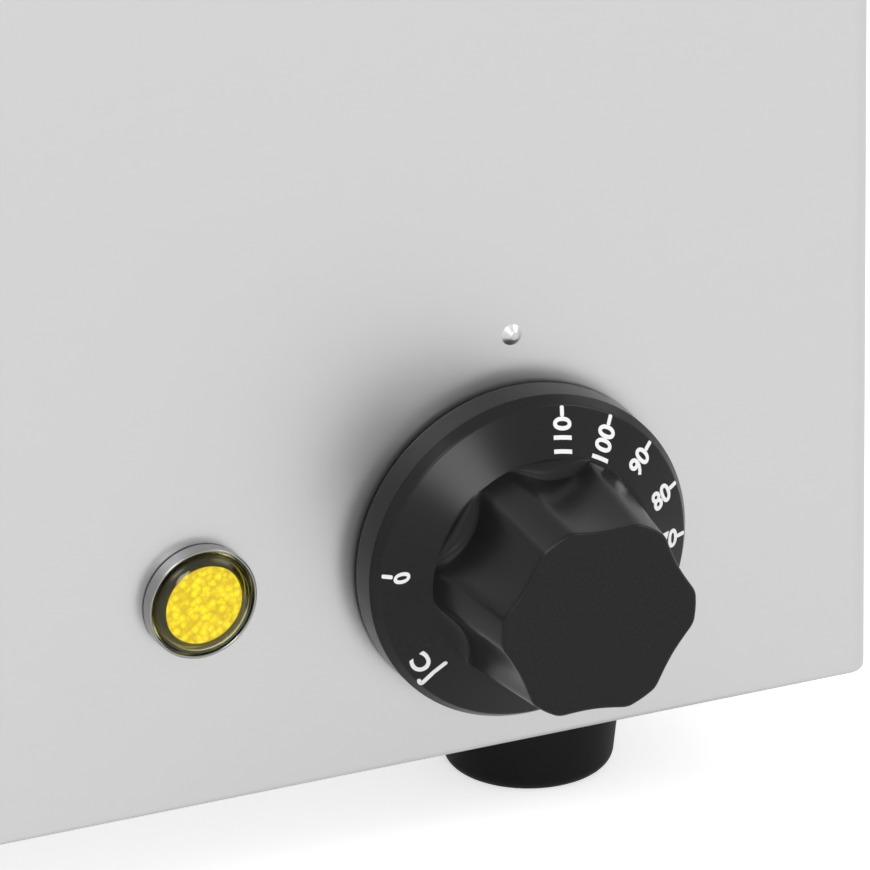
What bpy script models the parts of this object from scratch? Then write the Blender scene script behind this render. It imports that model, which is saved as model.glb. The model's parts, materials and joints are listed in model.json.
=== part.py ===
"""Countertop electric bain-marie: a water well in a stainless casing, three pans with hinged lids.

Metres, +Z up, the front faces -Y. The origin is under the middle of the object, on the table.
A piece's function places it from the named sizes below; local +Z of a turned front piece points
out of the front panel.
"""

import math

import bmesh
import bpy
from mathutils import Vector

# Fits, sheet and rounding
GAP = 0.0003
OVERRUN = 0.002
SHEET = 0.001
CORNER_STEPS = 3
ROUND_SIDES = 20
SMALL_SIDES = 10
HEX_SIDES = 6
ROD_SIDES = 8
BEND_STEPS = 4
EDGE_STEPS = 2
SHARP_ANGLE = math.radians(30)
QUARTER = math.pi / 2

# Casing and feet
CASE_CORNER = 0.004
CASE_FOLD = 0.012
FOOT_HEIGHT = 0.022
FOOT_TOP_RADIUS = 0.0185
FOOT_FLOOR_RADIUS = 0.016
FOOT_EDGE = 0.003
FOOT_RECESS_RADIUS = 0.007
FOOT_RECESS_DEPTH = 0.012
FOOT_FROM_SIDE = 0.0555
FOOT_FROM_FRONT = 0.035
SCREW_RADIUS = 0.0025
SCREW_HEAD_RADIUS = 0.005
SCREW_HEAD_HEIGHT = 0.003
VENT_WIDTH = 0.0035
VENT_LENGTH = 0.040
VENT_PITCH = 0.012
VENT_COUNT = 8
VENT_ROW_OFFSET = 0.060

# Deck, well and the bars between the pans
DECK_SIDE = 0.0404
DECK_FRONT = 0.025
DECK_APRON = 0.012
WATER_DEPTH = 0.0346
WELL_TAPER = 0.002
WELL_CORNER = 0.025
WELL_FILLET = 0.012
WELL_FLANGE_INSET = 0.005
BAR_WIDTH = 0.018
BAR_DROP = 0.010
BAR_TONGUE = 0.008

# Pans
PAN_COUNT = 3
PAN_WIDTH = 0.176
PAN_LENGTH = 0.325
PAN_SPACE = 0.0006
PAN_REST = 0.010
PAN_DEPTH = 0.100
PAN_FLANGE = 0.012
PAN_LIP = 0.004
PAN_TAPER = 0.006
PAN_CORNER = 0.022
PAN_OUTER_CORNER = 0.014
PAN_FILLET = 0.012

# Lids
LID_INSET = 0.0025
LID_CORNER = 0.012
LID_SEAM_CORNER = 0.0015
LID_SKIRT = 0.004
LID_SKIRT_PLAY = 0.001
LID_PANEL_INSET = 0.018
LID_PANEL_SLOPE = 0.004
LID_PANEL_RISE = 0.003
LID_SEAM = 0.0015
LID_REAR_SHARE = 0.34
KNUCKLE_COUNT = 5
KNUCKLE_LENGTH = 0.018
KNUCKLE_RADIUS = 0.003
KNUCKLE_LIFT = 0.0004
PIN_RADIUS = 0.00125
STOP_REACH = 0.005
STOP_THICKNESS = 0.0012
LID_OPEN_ANGLE = math.radians(105)
HANDLE_SPAN = 0.090
HANDLE_HEIGHT = 0.028
HANDLE_RADIUS = 0.003
HANDLE_BEND = 0.010
HANDLE_FROM_EDGE = 0.055

# Thermostat knob and its parts
KNOB_FROM_SIDE = 0.0755
CONTROL_HEIGHT = 0.0425
PIP_ABOVE_KNOB = 0.043
PIP_RADIUS = 0.002
PIP_RISE = 0.0009
KNOB_STANDOFF = 0.001
SKIRT_RADIUS = 0.033
SKIRT_THICKNESS = 0.005
SKIRT_WALL = 0.0025
SKIRT_BEVEL = 0.0028
SKIRT_BEVEL_RISE = 0.0011
DIAL_RISE = 0.008
GRIP_ROOT_RADIUS = 0.0235
GRIP_FACE_RADIUS = 0.020
GRIP_HEIGHT = 0.024
GRIP_EDGE = 0.0009
GRIP_SIDES = 54
SCOOP_COUNT = 6
SCOOP_WIDTH = math.radians(39)
SCOOP_SHARE = 0.17
SCOOP_START_SHARE = 0.10
SCOOP_FULL_SHARE = 0.55
GRIP_STEPS = 6
LOBE_ANGLE = math.radians(6)
HUB_RADIUS = 0.008
SHAFT_RADIUS = 0.003
SHAFT_FLAT = 0.0022
SHAFT_IN_KNOB = 0.014
SHAFT_IN_BODY = 0.008
SHAFT_HOLE_RADIUS = 0.005
BODY_WIDTH = 0.046
BODY_DEPTH = 0.034
BODY_HEIGHT = 0.040
BODY_CORNER = 0.003
BODY_CLEARANCE = 0.0038
FIX_SCREW_SPREAD = 0.014
FIX_SCREW_RADIUS = 0.002
FIX_HEAD_RADIUS = 0.0035
FIX_HEAD_HEIGHT = 0.002
FIX_SCREW_REACH = 0.006
BULB_RADIUS = 0.003
BULB_LENGTH = 0.080
CAPILLARY_RADIUS = 0.001
CAPILLARY_BEND = 0.008

# Pilot lamp
LAMP_FROM_KNOB = 0.0656
LAMP_ABOVE_KNOB = 0.0012
BEZEL_RADIUS = 0.0112
BEZEL_WALL = 0.0016
BEZEL_HEIGHT = 0.0030
BEZEL_EDGE = 0.0008
LENS_DOME = 0.0040
LENS_STEPS = 4
LENS_FLANGE = 0.0012
LAMP_BODY_RADIUS = 0.0085
LAMP_BODY_LENGTH = 0.026
LAMP_CLIP_RADIUS = 0.0115
LAMP_CLIP_THICKNESS = 0.003

# Heating element under the well
ROD_RADIUS = 0.004
ROD_PITCH = 0.050
ROD_ROWS = 4
ROD_HALF_X = 0.170
ROD_TAIL = 0.022
ROD_TAIL_BEND = 0.010
ROD_END_RADIUS = 0.002
ROD_END_LENGTH = 0.010
CLAMP_FROM_CENTRE = 0.090
CLAMP_WIDTH = 0.016
CLAMP_LENGTH = 0.178
CLAMP_THICKNESS = 0.0015
STUD_RADIUS = 0.0025
STUD_LENGTH = 0.018
NUT_RADIUS = 0.0048
NUT_THICKNESS = 0.004

# Terminal block and cable gland at the back
GLAND_FROM_SIDE = 0.080
GLAND_HEIGHT = 0.040
GLAND_BORE = 0.0045
GLAND_THREAD_RADIUS = 0.008
GLAND_THREAD_LENGTH = 0.012
GLAND_HEX_RADIUS = 0.0125
GLAND_HEX_LENGTH = 0.005
GLAND_DOME_RADIUS = 0.0105
GLAND_DOME_LENGTH = 0.012
GLAND_DOME_EDGE = 0.003
GLAND_NUT_THICKNESS = 0.004
TERMINAL_LENGTH = 0.042
TERMINAL_DEPTH = 0.020
TERMINAL_HEIGHT = 0.016
TERMINAL_HOLE = 0.002
TERMINAL_WAYS = 3
TERMINAL_FROM_REAR = 0.045

# Drain and tap on the front left
DRAIN_FROM_SIDE = 0.070
DRAIN_FROM_FRONT = 0.062
PIPE_RADIUS = 0.008
PIPE_BORE = 0.006
PIPE_BEND = 0.020
TAP_FLANGE_RADIUS = 0.015
TAP_FLANGE_THICKNESS = 0.004
TAP_NECK_RADIUS = 0.011
TAP_NECK_LENGTH = 0.008
TAP_BARREL_RADIUS = 0.015
TAP_BARREL_LENGTH = 0.022
TAP_BARREL_CHAMFER = 0.002
TAP_SOCKET = 0.008
BALL_RADIUS = 0.009
BALL_STEPS = 4
STEM_RADIUS = 0.003
STEM_ABOVE_BARREL = 0.011
LEVER_ABOVE_BARREL = 0.004
LEVER_THICKNESS = 0.0025
LEVER_WIDTH = 0.012
LEVER_LENGTH = 0.050
LEVER_CRANK = 0.006
LEVER_GRIP_LENGTH = 0.030
LEVER_GRIP_WALL = 0.0015
SPOUT_BEND = 0.016
SPOUT_DROP = 0.034

# Levels and places that follow from the sizes
control_z = FOOT_HEIGHT + CONTROL_HEIGHT
lamp_z = control_z + LAMP_ABOVE_KNOB
plate_bottom = FOOT_HEIGHT + SHEET + GAP
plate_top = plate_bottom + SHEET
well_under = control_z + BODY_HEIGHT / 2 + BODY_CLEARANCE + STUD_LENGTH
well_bottom = well_under + SHEET
pan_bottom = well_bottom + WATER_DEPTH + SHEET
pan_top = pan_bottom + PAN_DEPTH
lip_bottom = pan_top - PAN_LIP
deck_top = lip_bottom - GAP
deck_bottom = deck_top - SHEET
flange_top = deck_bottom - GAP
flange_bottom = flange_top - SHEET
case_top = flange_bottom - GAP
lid_bottom = pan_top + GAP
lid_top = lid_bottom + SHEET
hinge_z = lid_top + KNUCKLE_LIFT + KNUCKLE_RADIUS
rod_z = well_under - GAP - ROD_RADIUS
clamp_top = rod_z - ROD_RADIUS - GAP

pan_pitch = PAN_WIDTH + PAN_SPACE
well_half_x = (PAN_COUNT * pan_pitch - PAN_SPACE) / 2 - PAN_REST
well_half_y = PAN_LENGTH / 2 - PAN_REST
case_width = 2 * (well_half_x + DECK_SIDE)
case_depth = 2 * (well_half_y + DECK_FRONT)
well_depth = flange_top - well_bottom

tap_length = 2 * (TAP_FLANGE_THICKNESS + TAP_NECK_LENGTH) + TAP_BARREL_LENGTH
spout_start = GAP + tap_length - TAP_SOCKET + GAP
front_reach = GAP + tap_length + SPOUT_BEND + PIPE_RADIUS
rear_reach = GAP + GLAND_HEX_LENGTH + GLAND_DOME_LENGTH
case_y = (front_reach - rear_reach) / 2
front_y = case_y - case_depth / 2
rear_y = case_y + case_depth / 2
right_x = case_width / 2
left_x = -case_width / 2
knob_x = right_x - KNOB_FROM_SIDE
lamp_x = knob_x - LAMP_FROM_KNOB
tap_x = left_x + DRAIN_FROM_SIDE
gland_x = right_x - GLAND_FROM_SIDE
gland_z = FOOT_HEIGHT + GLAND_HEIGHT
ball_out = GAP + TAP_FLANGE_THICKNESS + TAP_NECK_LENGTH + TAP_BARREL_LENGTH / 2
lever_z = control_z + TAP_BARREL_RADIUS + LEVER_ABOVE_BARREL
lid_half_x = PAN_WIDTH / 2 - LID_INSET
lid_length = PAN_LENGTH - 2 * LID_INSET
lid_rear_length = lid_length * LID_REAR_SHARE - LID_SEAM / 2
lid_front_length = lid_length - lid_rear_length - LID_SEAM
hinge_y = case_y + lid_length / 2 - lid_rear_length - LID_SEAM / 2
front_turn = (QUARTER, 0.0, 0.0)
rear_turn = (-QUARTER, 0.0, 0.0)


def clear_scene():
    for item in list(bpy.data.objects):
        bpy.data.objects.remove(item, do_unlink=True)


def finish(name, colour, roughness, metallic=0.0):
    """A Principled BSDF in one colour, made once for each name."""
    material = bpy.data.materials.get(name)
    if material is None:
        material = bpy.data.materials.new(name)
        material.use_nodes = True
    shader = material.node_tree.nodes["Principled BSDF"]
    shader.inputs["Base Color"].default_value = (*colour, 1.0)
    shader.inputs["Roughness"].default_value = roughness
    shader.inputs["Metallic"].default_value = metallic
    return material


def satin_steel(piece):
    return finish("steel_" + piece, (0.60, 0.60, 0.60), 0.36, 1.0)


def bright_steel(piece):
    return finish("bright_" + piece, (0.70, 0.70, 0.70), 0.18, 1.0)


def plated_brass(piece):
    return finish("plated_" + piece, (0.66, 0.65, 0.62), 0.22, 1.0)


def black_plastic(piece):
    return finish("black_" + piece, (0.022, 0.022, 0.022), 0.38)


def black_rubber(piece):
    return finish("rubber_" + piece, (0.012, 0.012, 0.012), 0.60)


def amber_plastic(piece):
    return finish("amber_" + piece, (0.90, 0.62, 0.02), 0.20)


def pale_ceramic(piece):
    return finish("ceramic_" + piece, (0.75, 0.73, 0.68), 0.50)


def rounded_loop(half_x, half_y, z, rear_radius, front_radius=None, centre=(0.0, 0.0)):
    """Rectangle with quarter-circle corners, counter-clockwise from the rear right corner."""
    if front_radius is None:
        front_radius = rear_radius
    corners = ((1, 1, rear_radius), (-1, 1, rear_radius), (-1, -1, front_radius), (1, -1, front_radius))
    points = []
    for number, (side_x, side_y, radius) in enumerate(corners):
        for step in range(CORNER_STEPS + 1):
            angle = QUARTER * (number + step / CORNER_STEPS)
            x = centre[0] + side_x * (half_x - radius) + radius * math.cos(angle)
            y = centre[1] + side_y * (half_y - radius) + radius * math.sin(angle)
            points.append(Vector((x, y, z)))
    return points


def circle_loop(radius, z, sides=ROUND_SIDES):
    """Circle of the given radius about local Z."""
    angles = [2 * math.pi * step / sides for step in range(sides)]
    return [Vector((radius * math.cos(angle), radius * math.sin(angle), z)) for angle in angles]


def new_object(name, shape, material):
    """Turn a bmesh into an object with outward faces and smooth round sides."""
    bmesh.ops.recalc_face_normals(shape, faces=shape.faces)
    mesh = bpy.data.meshes.new(name)
    shape.to_mesh(mesh)
    shape.free()
    mesh.shade_smooth()
    mesh.set_sharp_from_angle(angle=SHARP_ANGLE)
    if material is not None:
        mesh.materials.append(material)
    item = bpy.data.objects.new(name, mesh)
    bpy.context.scene.collection.objects.link(item)
    return item


def loft_into(shape, loops, ring=False):
    """Join each loop to the next with quads; close the ends, or join the last loop to the first."""
    rows = [[shape.verts.new(point) for point in loop] for loop in loops]
    pairs = list(zip(rows, rows[1:]))
    if ring:
        pairs.append((rows[-1], rows[0]))
    else:
        shape.faces.new(list(reversed(rows[0])))
        shape.faces.new(rows[-1])
    for low, high in pairs:
        for index in range(len(low)):
            after = (index + 1) % len(low)
            shape.faces.new((low[index], low[after], high[after], high[index]))


def lofted(name, loops, material, ring=False):
    shape = bmesh.new()
    loft_into(shape, loops, ring)
    return new_object(name, shape, material)


def turned(name, profile, material, ring=False, sides=ROUND_SIDES):
    """Revolve (radius, height) pairs about local Z."""
    return lofted(name, [circle_loop(radius, z, sides) for radius, z in profile], material, ring)


def rod_into(shape, start, end, radius, sides=SMALL_SIDES):
    """Straight round bar from start to end."""
    loft_into(shape, sweep_loops([Vector(start), Vector(end)], [radius, radius], sides))


def box_into(shape, low, high):
    """Box between two corners."""
    loops = []
    for z in (low[2], high[2]):
        corners = ((low[0], low[1]), (high[0], low[1]), (high[0], high[1]), (low[0], high[1]))
        loops.append([Vector((x, y, z)) for x, y in corners])
    loft_into(shape, loops)


def sweep_loops(path, radii, sides):
    """Circles square to a path, each frame carried on from the one before without twist."""
    loops = []
    side = None
    for index, point in enumerate(path):
        before = path[max(index - 1, 0)]
        after = path[min(index + 1, len(path) - 1)]
        along = (after - before).normalized()
        if side is None:
            side = along.orthogonal().normalized()
        side = (side - along * side.dot(along)).normalized()
        across = along.cross(side)
        angles = [2 * math.pi * step / sides for step in range(sides)]
        loops.append([point + (side * math.cos(a) + across * math.sin(a)) * radii[index] for a in angles])
    return loops


def rounded_path(corners, radius, steps=BEND_STEPS):
    """Straight runs through the corners, each corner replaced by a tangent arc."""
    corners = [Vector(corner) for corner in corners]
    path = [corners[0]]
    for before, corner, after in zip(corners, corners[1:], corners[2:]):
        into = (corner - before).normalized()
        out = (after - corner).normalized()
        turn = into.angle(out)
        start = corner - into * radius * math.tan(turn / 2)
        side = (out - into * into.dot(out)).normalized()
        centre = start + side * radius
        for step in range(steps + 1):
            angle = turn * step / steps
            path.append(centre - side * radius * math.cos(angle) + into * radius * math.sin(angle))
    path.append(corners[-1])
    return [point for index, point in enumerate(path) if index == 0 or (point - path[index - 1]).length > GAP]


def bent_pipe(name, corners, bend, outer, bore, material):
    """Open pipe along a rounded path."""
    path = rounded_path(corners, bend)
    outside = sweep_loops(path, [outer] * len(path), SMALL_SIDES)
    inside = sweep_loops(path, [bore] * len(path), SMALL_SIDES)
    return lofted(name, outside + list(reversed(inside)), material, ring=True)


def hide_tool(tool):
    tool.hide_render = True
    tool.display_type = "WIRE"


def combine(item, shape, operation):
    """Cut a bmesh in world space, or in the item's own space, from the item, or join it on."""
    tool = new_object(item.name + "_" + operation.lower() + str(len(item.modifiers)), shape, None)
    tool.location = item.location
    tool.rotation_euler = item.rotation_euler
    hide_tool(tool)
    step = item.modifiers.new(operation.lower(), "BOOLEAN")
    step.operation = operation
    step.solver = "EXACT"
    step.object = tool


def place(item, location, turn=(0.0, 0.0, 0.0)):
    item.location = location
    item.rotation_euler = turn
    return item


def corner_for(radius, inset):
    """Corner radius of an inset loop, never under the sheet's own thickness."""
    return max(radius - inset, SHEET)


def make_casing():
    """Folded wrap: four walls with a return fold at the top and at the bottom."""
    section = (
        (0.0, FOOT_HEIGHT), (0.0, case_top), (CASE_FOLD, case_top), (CASE_FOLD, case_top - SHEET),
        (SHEET, case_top - SHEET), (SHEET, FOOT_HEIGHT + SHEET),
        (CASE_FOLD, FOOT_HEIGHT + SHEET), (CASE_FOLD, FOOT_HEIGHT),
    )
    loops = []
    for inset, z in section:
        half_x = case_width / 2 - inset
        half_y = case_depth / 2 - inset
        loops.append(rounded_loop(half_x, half_y, z, corner_for(CASE_CORNER, inset), centre=(0.0, case_y)))
    casing = lofted("casing_wrap", loops, satin_steel("casing"), ring=True)
    add_pip(casing)
    cut_casing(casing)
    return casing


def add_pip(casing):
    """Pressed pip above the knob: a low dome, rooted in the sheet."""
    shape = bmesh.new()
    centre = Vector((knob_x, front_y, control_z + PIP_ABOVE_KNOB))
    out = Vector((0.0, -1.0, 0.0))
    path = [centre - out * SHEET / 2, centre]
    radii = [PIP_RADIUS, PIP_RADIUS]
    for step in range(1, BEND_STEPS):
        angle = QUARTER * step / BEND_STEPS
        path.append(centre + out * PIP_RISE * math.sin(angle))
        radii.append(PIP_RADIUS * math.cos(angle))
    loft_into(shape, sweep_loops(path, radii, SMALL_SIDES))
    combine(casing, shape, "UNION")


def cut_casing(casing):
    """Holes for the shaft, its screws, the lamp and the tap in the front, and for the gland behind."""
    shape = bmesh.new()
    holes = [
        (knob_x, control_z, SHAFT_HOLE_RADIUS, front_y),
        (lamp_x, lamp_z, LAMP_BODY_RADIUS + GAP, front_y),
        (tap_x, control_z, PIPE_RADIUS + GAP, front_y),
        (gland_x, gland_z, GLAND_THREAD_RADIUS + GAP, rear_y),
    ]
    for side in (-1, 1):
        holes.append((knob_x + side * FIX_SCREW_SPREAD, control_z, FIX_SCREW_RADIUS + GAP, front_y))
    for x, z, radius, wall_y in holes:
        rod_into(shape, (x, wall_y - OVERRUN, z), (x, wall_y + OVERRUN, z), radius, ROUND_SIDES)
    combine(casing, shape, "DIFFERENCE")


def make_base_plate():
    """Plate that lies on the casing's lower fold, with two rows of vent slots and the foot holes."""
    half_x = case_width / 2 - SHEET - GAP
    half_y = case_depth / 2 - SHEET - GAP
    corner = corner_for(CASE_CORNER, SHEET + GAP)
    loops = [rounded_loop(half_x, half_y, z, corner, centre=(0.0, case_y)) for z in (plate_bottom, plate_top)]
    plate = lofted("base_plate", loops, satin_steel("base"))
    shape = bmesh.new()
    for row in (-1, 1):
        for number in range(VENT_COUNT):
            x = (number - (VENT_COUNT - 1) / 2) * VENT_PITCH
            y = case_y + row * VENT_ROW_OFFSET
            low = (x - VENT_WIDTH / 2, y - VENT_LENGTH / 2, plate_bottom - OVERRUN)
            high = (x + VENT_WIDTH / 2, y + VENT_LENGTH / 2, plate_top + OVERRUN)
            box_into(shape, low, high)
    for name, x, y in foot_places():
        rod_into(shape, (x, y, plate_bottom - OVERRUN), (x, y, plate_top + OVERRUN), SCREW_RADIUS + GAP)
    combine(plate, shape, "DIFFERENCE")


def foot_places():
    places = []
    for side_x, word_x in ((-1, "left"), (1, "right")):
        for side_y, word_y in ((-1, "front"), (1, "rear")):
            x = side_x * (case_width / 2 - FOOT_FROM_SIDE)
            y = case_y + side_y * (case_depth / 2 - FOOT_FROM_FRONT)
            places.append((word_y + "_" + word_x, x, y))
    return places


def make_foot(name, x, y):
    """Tapered rubber foot, rounded at the floor, recessed from below for its screw."""
    top = plate_bottom - GAP
    profile = [(SCREW_RADIUS + GAP, top), (FOOT_TOP_RADIUS, top), (FOOT_FLOOR_RADIUS, FOOT_EDGE)]
    for step in range(1, EDGE_STEPS + 1):
        angle = QUARTER * step / EDGE_STEPS
        radius = FOOT_FLOOR_RADIUS - FOOT_EDGE * (1 - math.cos(angle))
        profile.append((radius, FOOT_EDGE * (1 - math.sin(angle))))
    profile.append((FOOT_RECESS_RADIUS, 0.0))
    profile.append((FOOT_RECESS_RADIUS, FOOT_RECESS_DEPTH))
    profile.append((SCREW_RADIUS + GAP, FOOT_RECESS_DEPTH))
    foot = turned("foot_" + name, profile, black_rubber("foot"), ring=True)
    place(foot, (x, y, 0.0))


def make_foot_screw(name, x, y):
    """Pan-head screw up through the foot and the base plate."""
    head_top = FOOT_RECESS_DEPTH - GAP
    head_bottom = head_top - SCREW_HEAD_HEIGHT
    profile = [
        (SCREW_HEAD_RADIUS, head_bottom), (SCREW_HEAD_RADIUS, head_top),
        (SCREW_RADIUS, head_top), (SCREW_RADIUS, plate_top + SCREW_HEAD_HEIGHT),
    ]
    screw = turned("foot_screw_" + name, profile, bright_steel("screw"), sides=SMALL_SIDES)
    place(screw, (x, y, 0.0))


def make_deck():
    """Top sheet with a downturned apron and the well's opening, notched for the bars."""
    grow = SHEET + GAP
    outer_x = case_width / 2 + grow
    outer_y = case_depth / 2 + grow
    corner = CASE_CORNER + grow
    inner_corner = corner_for(corner, SHEET)
    apron = case_top - DECK_APRON
    rows = (
        (well_half_x, well_half_y, deck_bottom, WELL_CORNER),
        (well_half_x, well_half_y, deck_top, WELL_CORNER),
        (outer_x, outer_y, deck_top, corner), (outer_x, outer_y, apron, corner),
        (outer_x - SHEET, outer_y - SHEET, apron, inner_corner),
        (outer_x - SHEET, outer_y - SHEET, deck_bottom, inner_corner),
    )
    loops = [rounded_loop(hx, hy, z, radius, centre=(0.0, case_y)) for hx, hy, z, radius in rows]
    deck = lofted("top_deck", loops, satin_steel("deck"), ring=True)
    shape = bmesh.new()
    for x in bar_places():
        for side in (-1, 1):
            edge = case_y + side * well_half_y
            end = edge + side * (BAR_TONGUE + GAP)
            start = edge - side * OVERRUN
            low = (x - BAR_WIDTH / 2 - GAP, min(start, end), deck_bottom - GAP / 2)
            high = (x + BAR_WIDTH / 2 + GAP, max(start, end), deck_top + OVERRUN)
            box_into(shape, low, high)
    combine(deck, shape, "DIFFERENCE")


def bar_places():
    return [(number - PAN_COUNT / 2) * pan_pitch for number in range(1, PAN_COUNT)]


def make_bar(number, x):
    """Channel under the seam of two pans; its end tongues lie in the deck's notches."""
    half = BAR_WIDTH / 2
    run = well_half_y - GAP
    outline = (
        (-half, deck_bottom - BAR_DROP), (-half, deck_top), (half, deck_top), (half, deck_bottom - BAR_DROP),
        (half - SHEET, deck_bottom - BAR_DROP), (half - SHEET, deck_bottom),
        (SHEET - half, deck_bottom), (SHEET - half, deck_bottom - BAR_DROP),
    )
    loops = [[Vector((x + px, case_y + side * run, pz)) for px, pz in outline] for side in (-1, 1)]
    bar = lofted("pan_bar_" + str(number), loops, satin_steel("bar"))
    shape = bmesh.new()
    for side in (-1, 1):
        inside = case_y + side * (run - OVERRUN)
        end = case_y + side * (well_half_y + BAR_TONGUE)
        box_into(shape, (x - half, min(inside, end), deck_bottom), (x + half, max(inside, end), deck_top))
    combine(bar, shape, "UNION")


def cup_loops(half_x, half_y, corner, top, depth, taper, fillet):
    """Inside of a tapered tray: floor, rounded foot and leaning walls, from the floor up."""
    loops = []
    floor = top - depth
    for step in range(BEND_STEPS + 1):
        angle = QUARTER * step / BEND_STEPS
        inset = taper + fillet * (1 - math.sin(angle))
        z = floor + fillet * (1 - math.cos(angle))
        loops.append(rounded_loop(half_x - inset, half_y - inset, z, corner_for(corner, inset)))
    loops.append(rounded_loop(half_x, half_y, top, corner))
    return loops


def make_well():
    """Drawn water well with an outward flange, the drain hole and four studs under its floor."""
    inside = cup_loops(well_half_x, well_half_y, WELL_CORNER, flange_top, well_depth, WELL_TAPER, WELL_FILLET)
    outer_x = well_half_x + SHEET
    outer_y = well_half_y + SHEET
    outside = cup_loops(
        outer_x, outer_y, WELL_CORNER + SHEET, flange_bottom, well_depth, WELL_TAPER, WELL_FILLET + SHEET)
    rim_x = case_width / 2 - WELL_FLANGE_INSET
    rim_y = case_depth / 2 - WELL_FLANGE_INSET
    rim = [rounded_loop(rim_x, rim_y, z, CASE_CORNER) for z in (flange_top, flange_bottom)]
    well = lofted("water_well", inside + rim + list(reversed(outside)), satin_steel("well"))
    place(well, (0.0, case_y, 0.0))
    studs = bmesh.new()
    for x, y in stud_places():
        rod_into(studs, (x, y, well_bottom - SHEET / 2), (x, y, well_under - STUD_LENGTH), STUD_RADIUS)
    combine(well, studs, "UNION")
    drain = bmesh.new()
    x, y = tap_x, DRAIN_FROM_FRONT - case_depth / 2
    rod_into(drain, (x, y, well_under - OVERRUN), (x, y, well_bottom + OVERRUN), PIPE_BORE)
    combine(well, drain, "DIFFERENCE")


def stud_places():
    """Stud centres about the well's middle: between the outer rows of the element."""
    offset = ROD_PITCH
    return [(x, y) for x in (-CLAMP_FROM_CENTRE, CLAMP_FROM_CENTRE) for y in (-offset, offset)]


def make_element():
    """Serpentine heating rod: half-turns between the rows, tails turned down to thinner pins."""
    rows = [case_y + (row - (ROD_ROWS - 1) / 2) * ROD_PITCH for row in range(ROD_ROWS)]
    tail_x = ROD_HALF_X + ROD_TAIL
    low = rod_z - ROD_TAIL
    corners = [(ROD_HALF_X, rows[0], rod_z)]
    for number, (y, next_y) in enumerate(zip(rows, rows[1:])):
        x = -ROD_HALF_X if number % 2 == 0 else ROD_HALF_X
        corners += [(x, y, rod_z), (x, next_y, rod_z)]
    corners.append((ROD_HALF_X, rows[-1], rod_z))
    middle = rounded_path(corners, ROD_PITCH / 2 - GAP)
    tails = []
    for y in (rows[0], rows[-1]):
        corners = [(tail_x, y, low), (tail_x, y, rod_z), (ROD_HALF_X, y, rod_z)]
        tails.append(rounded_path(corners, ROD_TAIL_BEND))
    body = tails[0][:-1] + middle + list(reversed(tails[1]))[1:]
    down = Vector((0.0, 0.0, -ROD_END_LENGTH))
    path = [body[0] + down, body[0]] + body + [body[-1], body[-1] + down]
    ends = [ROD_END_RADIUS, ROD_END_RADIUS]
    radii = ends + [ROD_RADIUS] * len(body) + ends
    lofted("heating_element", sweep_loops(path, radii, ROD_SIDES), bright_steel("element"))


def make_clamp(number, x):
    """Bar under the element's rows, drilled for the well's studs."""
    half = CLAMP_WIDTH / 2
    shape = bmesh.new()
    low = (x - half, case_y - CLAMP_LENGTH / 2, clamp_top - CLAMP_THICKNESS)
    high = (x + half, case_y + CLAMP_LENGTH / 2, clamp_top)
    box_into(shape, low, high)
    clamp = new_object("element_clamp_" + str(number), shape, satin_steel("clamp"))
    holes = bmesh.new()
    for stud_x, stud_y in stud_places():
        if stud_x * x > 0:
            y = case_y + stud_y
            start = (stud_x, y, clamp_top + OVERRUN)
            rod_into(holes, start, (stud_x, y, clamp_top - CLAMP_THICKNESS - OVERRUN), STUD_RADIUS + GAP)
    combine(clamp, holes, "DIFFERENCE")


def make_clamp_nut(number, x, y):
    """Hexagon nut on a stud, drawn up under the clamp."""
    top = clamp_top - CLAMP_THICKNESS - GAP
    place_at = (x, case_y + y, 0.0)
    hex_nut("clamp_nut_" + str(number), NUT_RADIUS, STUD_RADIUS + GAP, top - NUT_THICKNESS, top, place_at)


def hex_nut(name, radius, bore, low, high, location, turn=(0.0, 0.0, 0.0), material=None):
    """Hexagonal ring: a hexagon outside and a bore of the same point count inside."""
    def hexagon(z):
        points = []
        for corner in circle_loop(radius, z, HEX_SIDES):
            points.append(corner)
        full = []
        for index, corner in enumerate(points):
            after = points[(index + 1) % HEX_SIDES]
            full += [corner, corner.lerp(after, 1 / 3), corner.lerp(after, 2 / 3)]
        return full

    sides = 3 * HEX_SIDES
    loops = [circle_loop(bore, low, sides), hexagon(low), hexagon(high), circle_loop(bore, high, sides)]
    nut = lofted(name, loops, material or bright_steel("nut"), ring=True)
    return place(nut, location, turn)


def make_thermostat():
    """Thermostat body behind the panel, with blind holes for the control shaft and two screws."""
    back = SHEET + GAP
    loops = [
        rounded_loop(BODY_WIDTH / 2, BODY_HEIGHT / 2, z, BODY_CORNER) for z in (-back - BODY_DEPTH, -back)]
    body = lofted("thermostat_body", loops, pale_ceramic("thermostat"))
    place(body, (knob_x, front_y, control_z), front_turn)
    holes = bmesh.new()
    rod_into(holes, (0.0, 0.0, -back - SHAFT_IN_BODY), (0.0, 0.0, OVERRUN), SHAFT_RADIUS + GAP)
    for side in (-1, 1):
        x = side * FIX_SCREW_SPREAD
        rod_into(holes, (x, 0.0, -FIX_SCREW_REACH - GAP), (x, 0.0, OVERRUN), FIX_SCREW_RADIUS + GAP)
    combine(body, holes, "DIFFERENCE")
    for side, word in ((-1, "left"), (1, "right")):
        make_fix_screw(word, knob_x + side * FIX_SCREW_SPREAD)


def make_fix_screw(word, x):
    """Screw through the panel into the thermostat body, hidden behind the knob's skirt."""
    profile = [
        (FIX_SCREW_RADIUS, -FIX_SCREW_REACH), (FIX_SCREW_RADIUS, GAP),
        (FIX_HEAD_RADIUS, GAP), (FIX_HEAD_RADIUS, GAP + FIX_HEAD_HEIGHT),
    ]
    screw = turned("thermostat_screw_" + word, profile, bright_steel("screw"), sides=SMALL_SIDES)
    place(screw, (x, front_y, control_z), front_turn)


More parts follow.
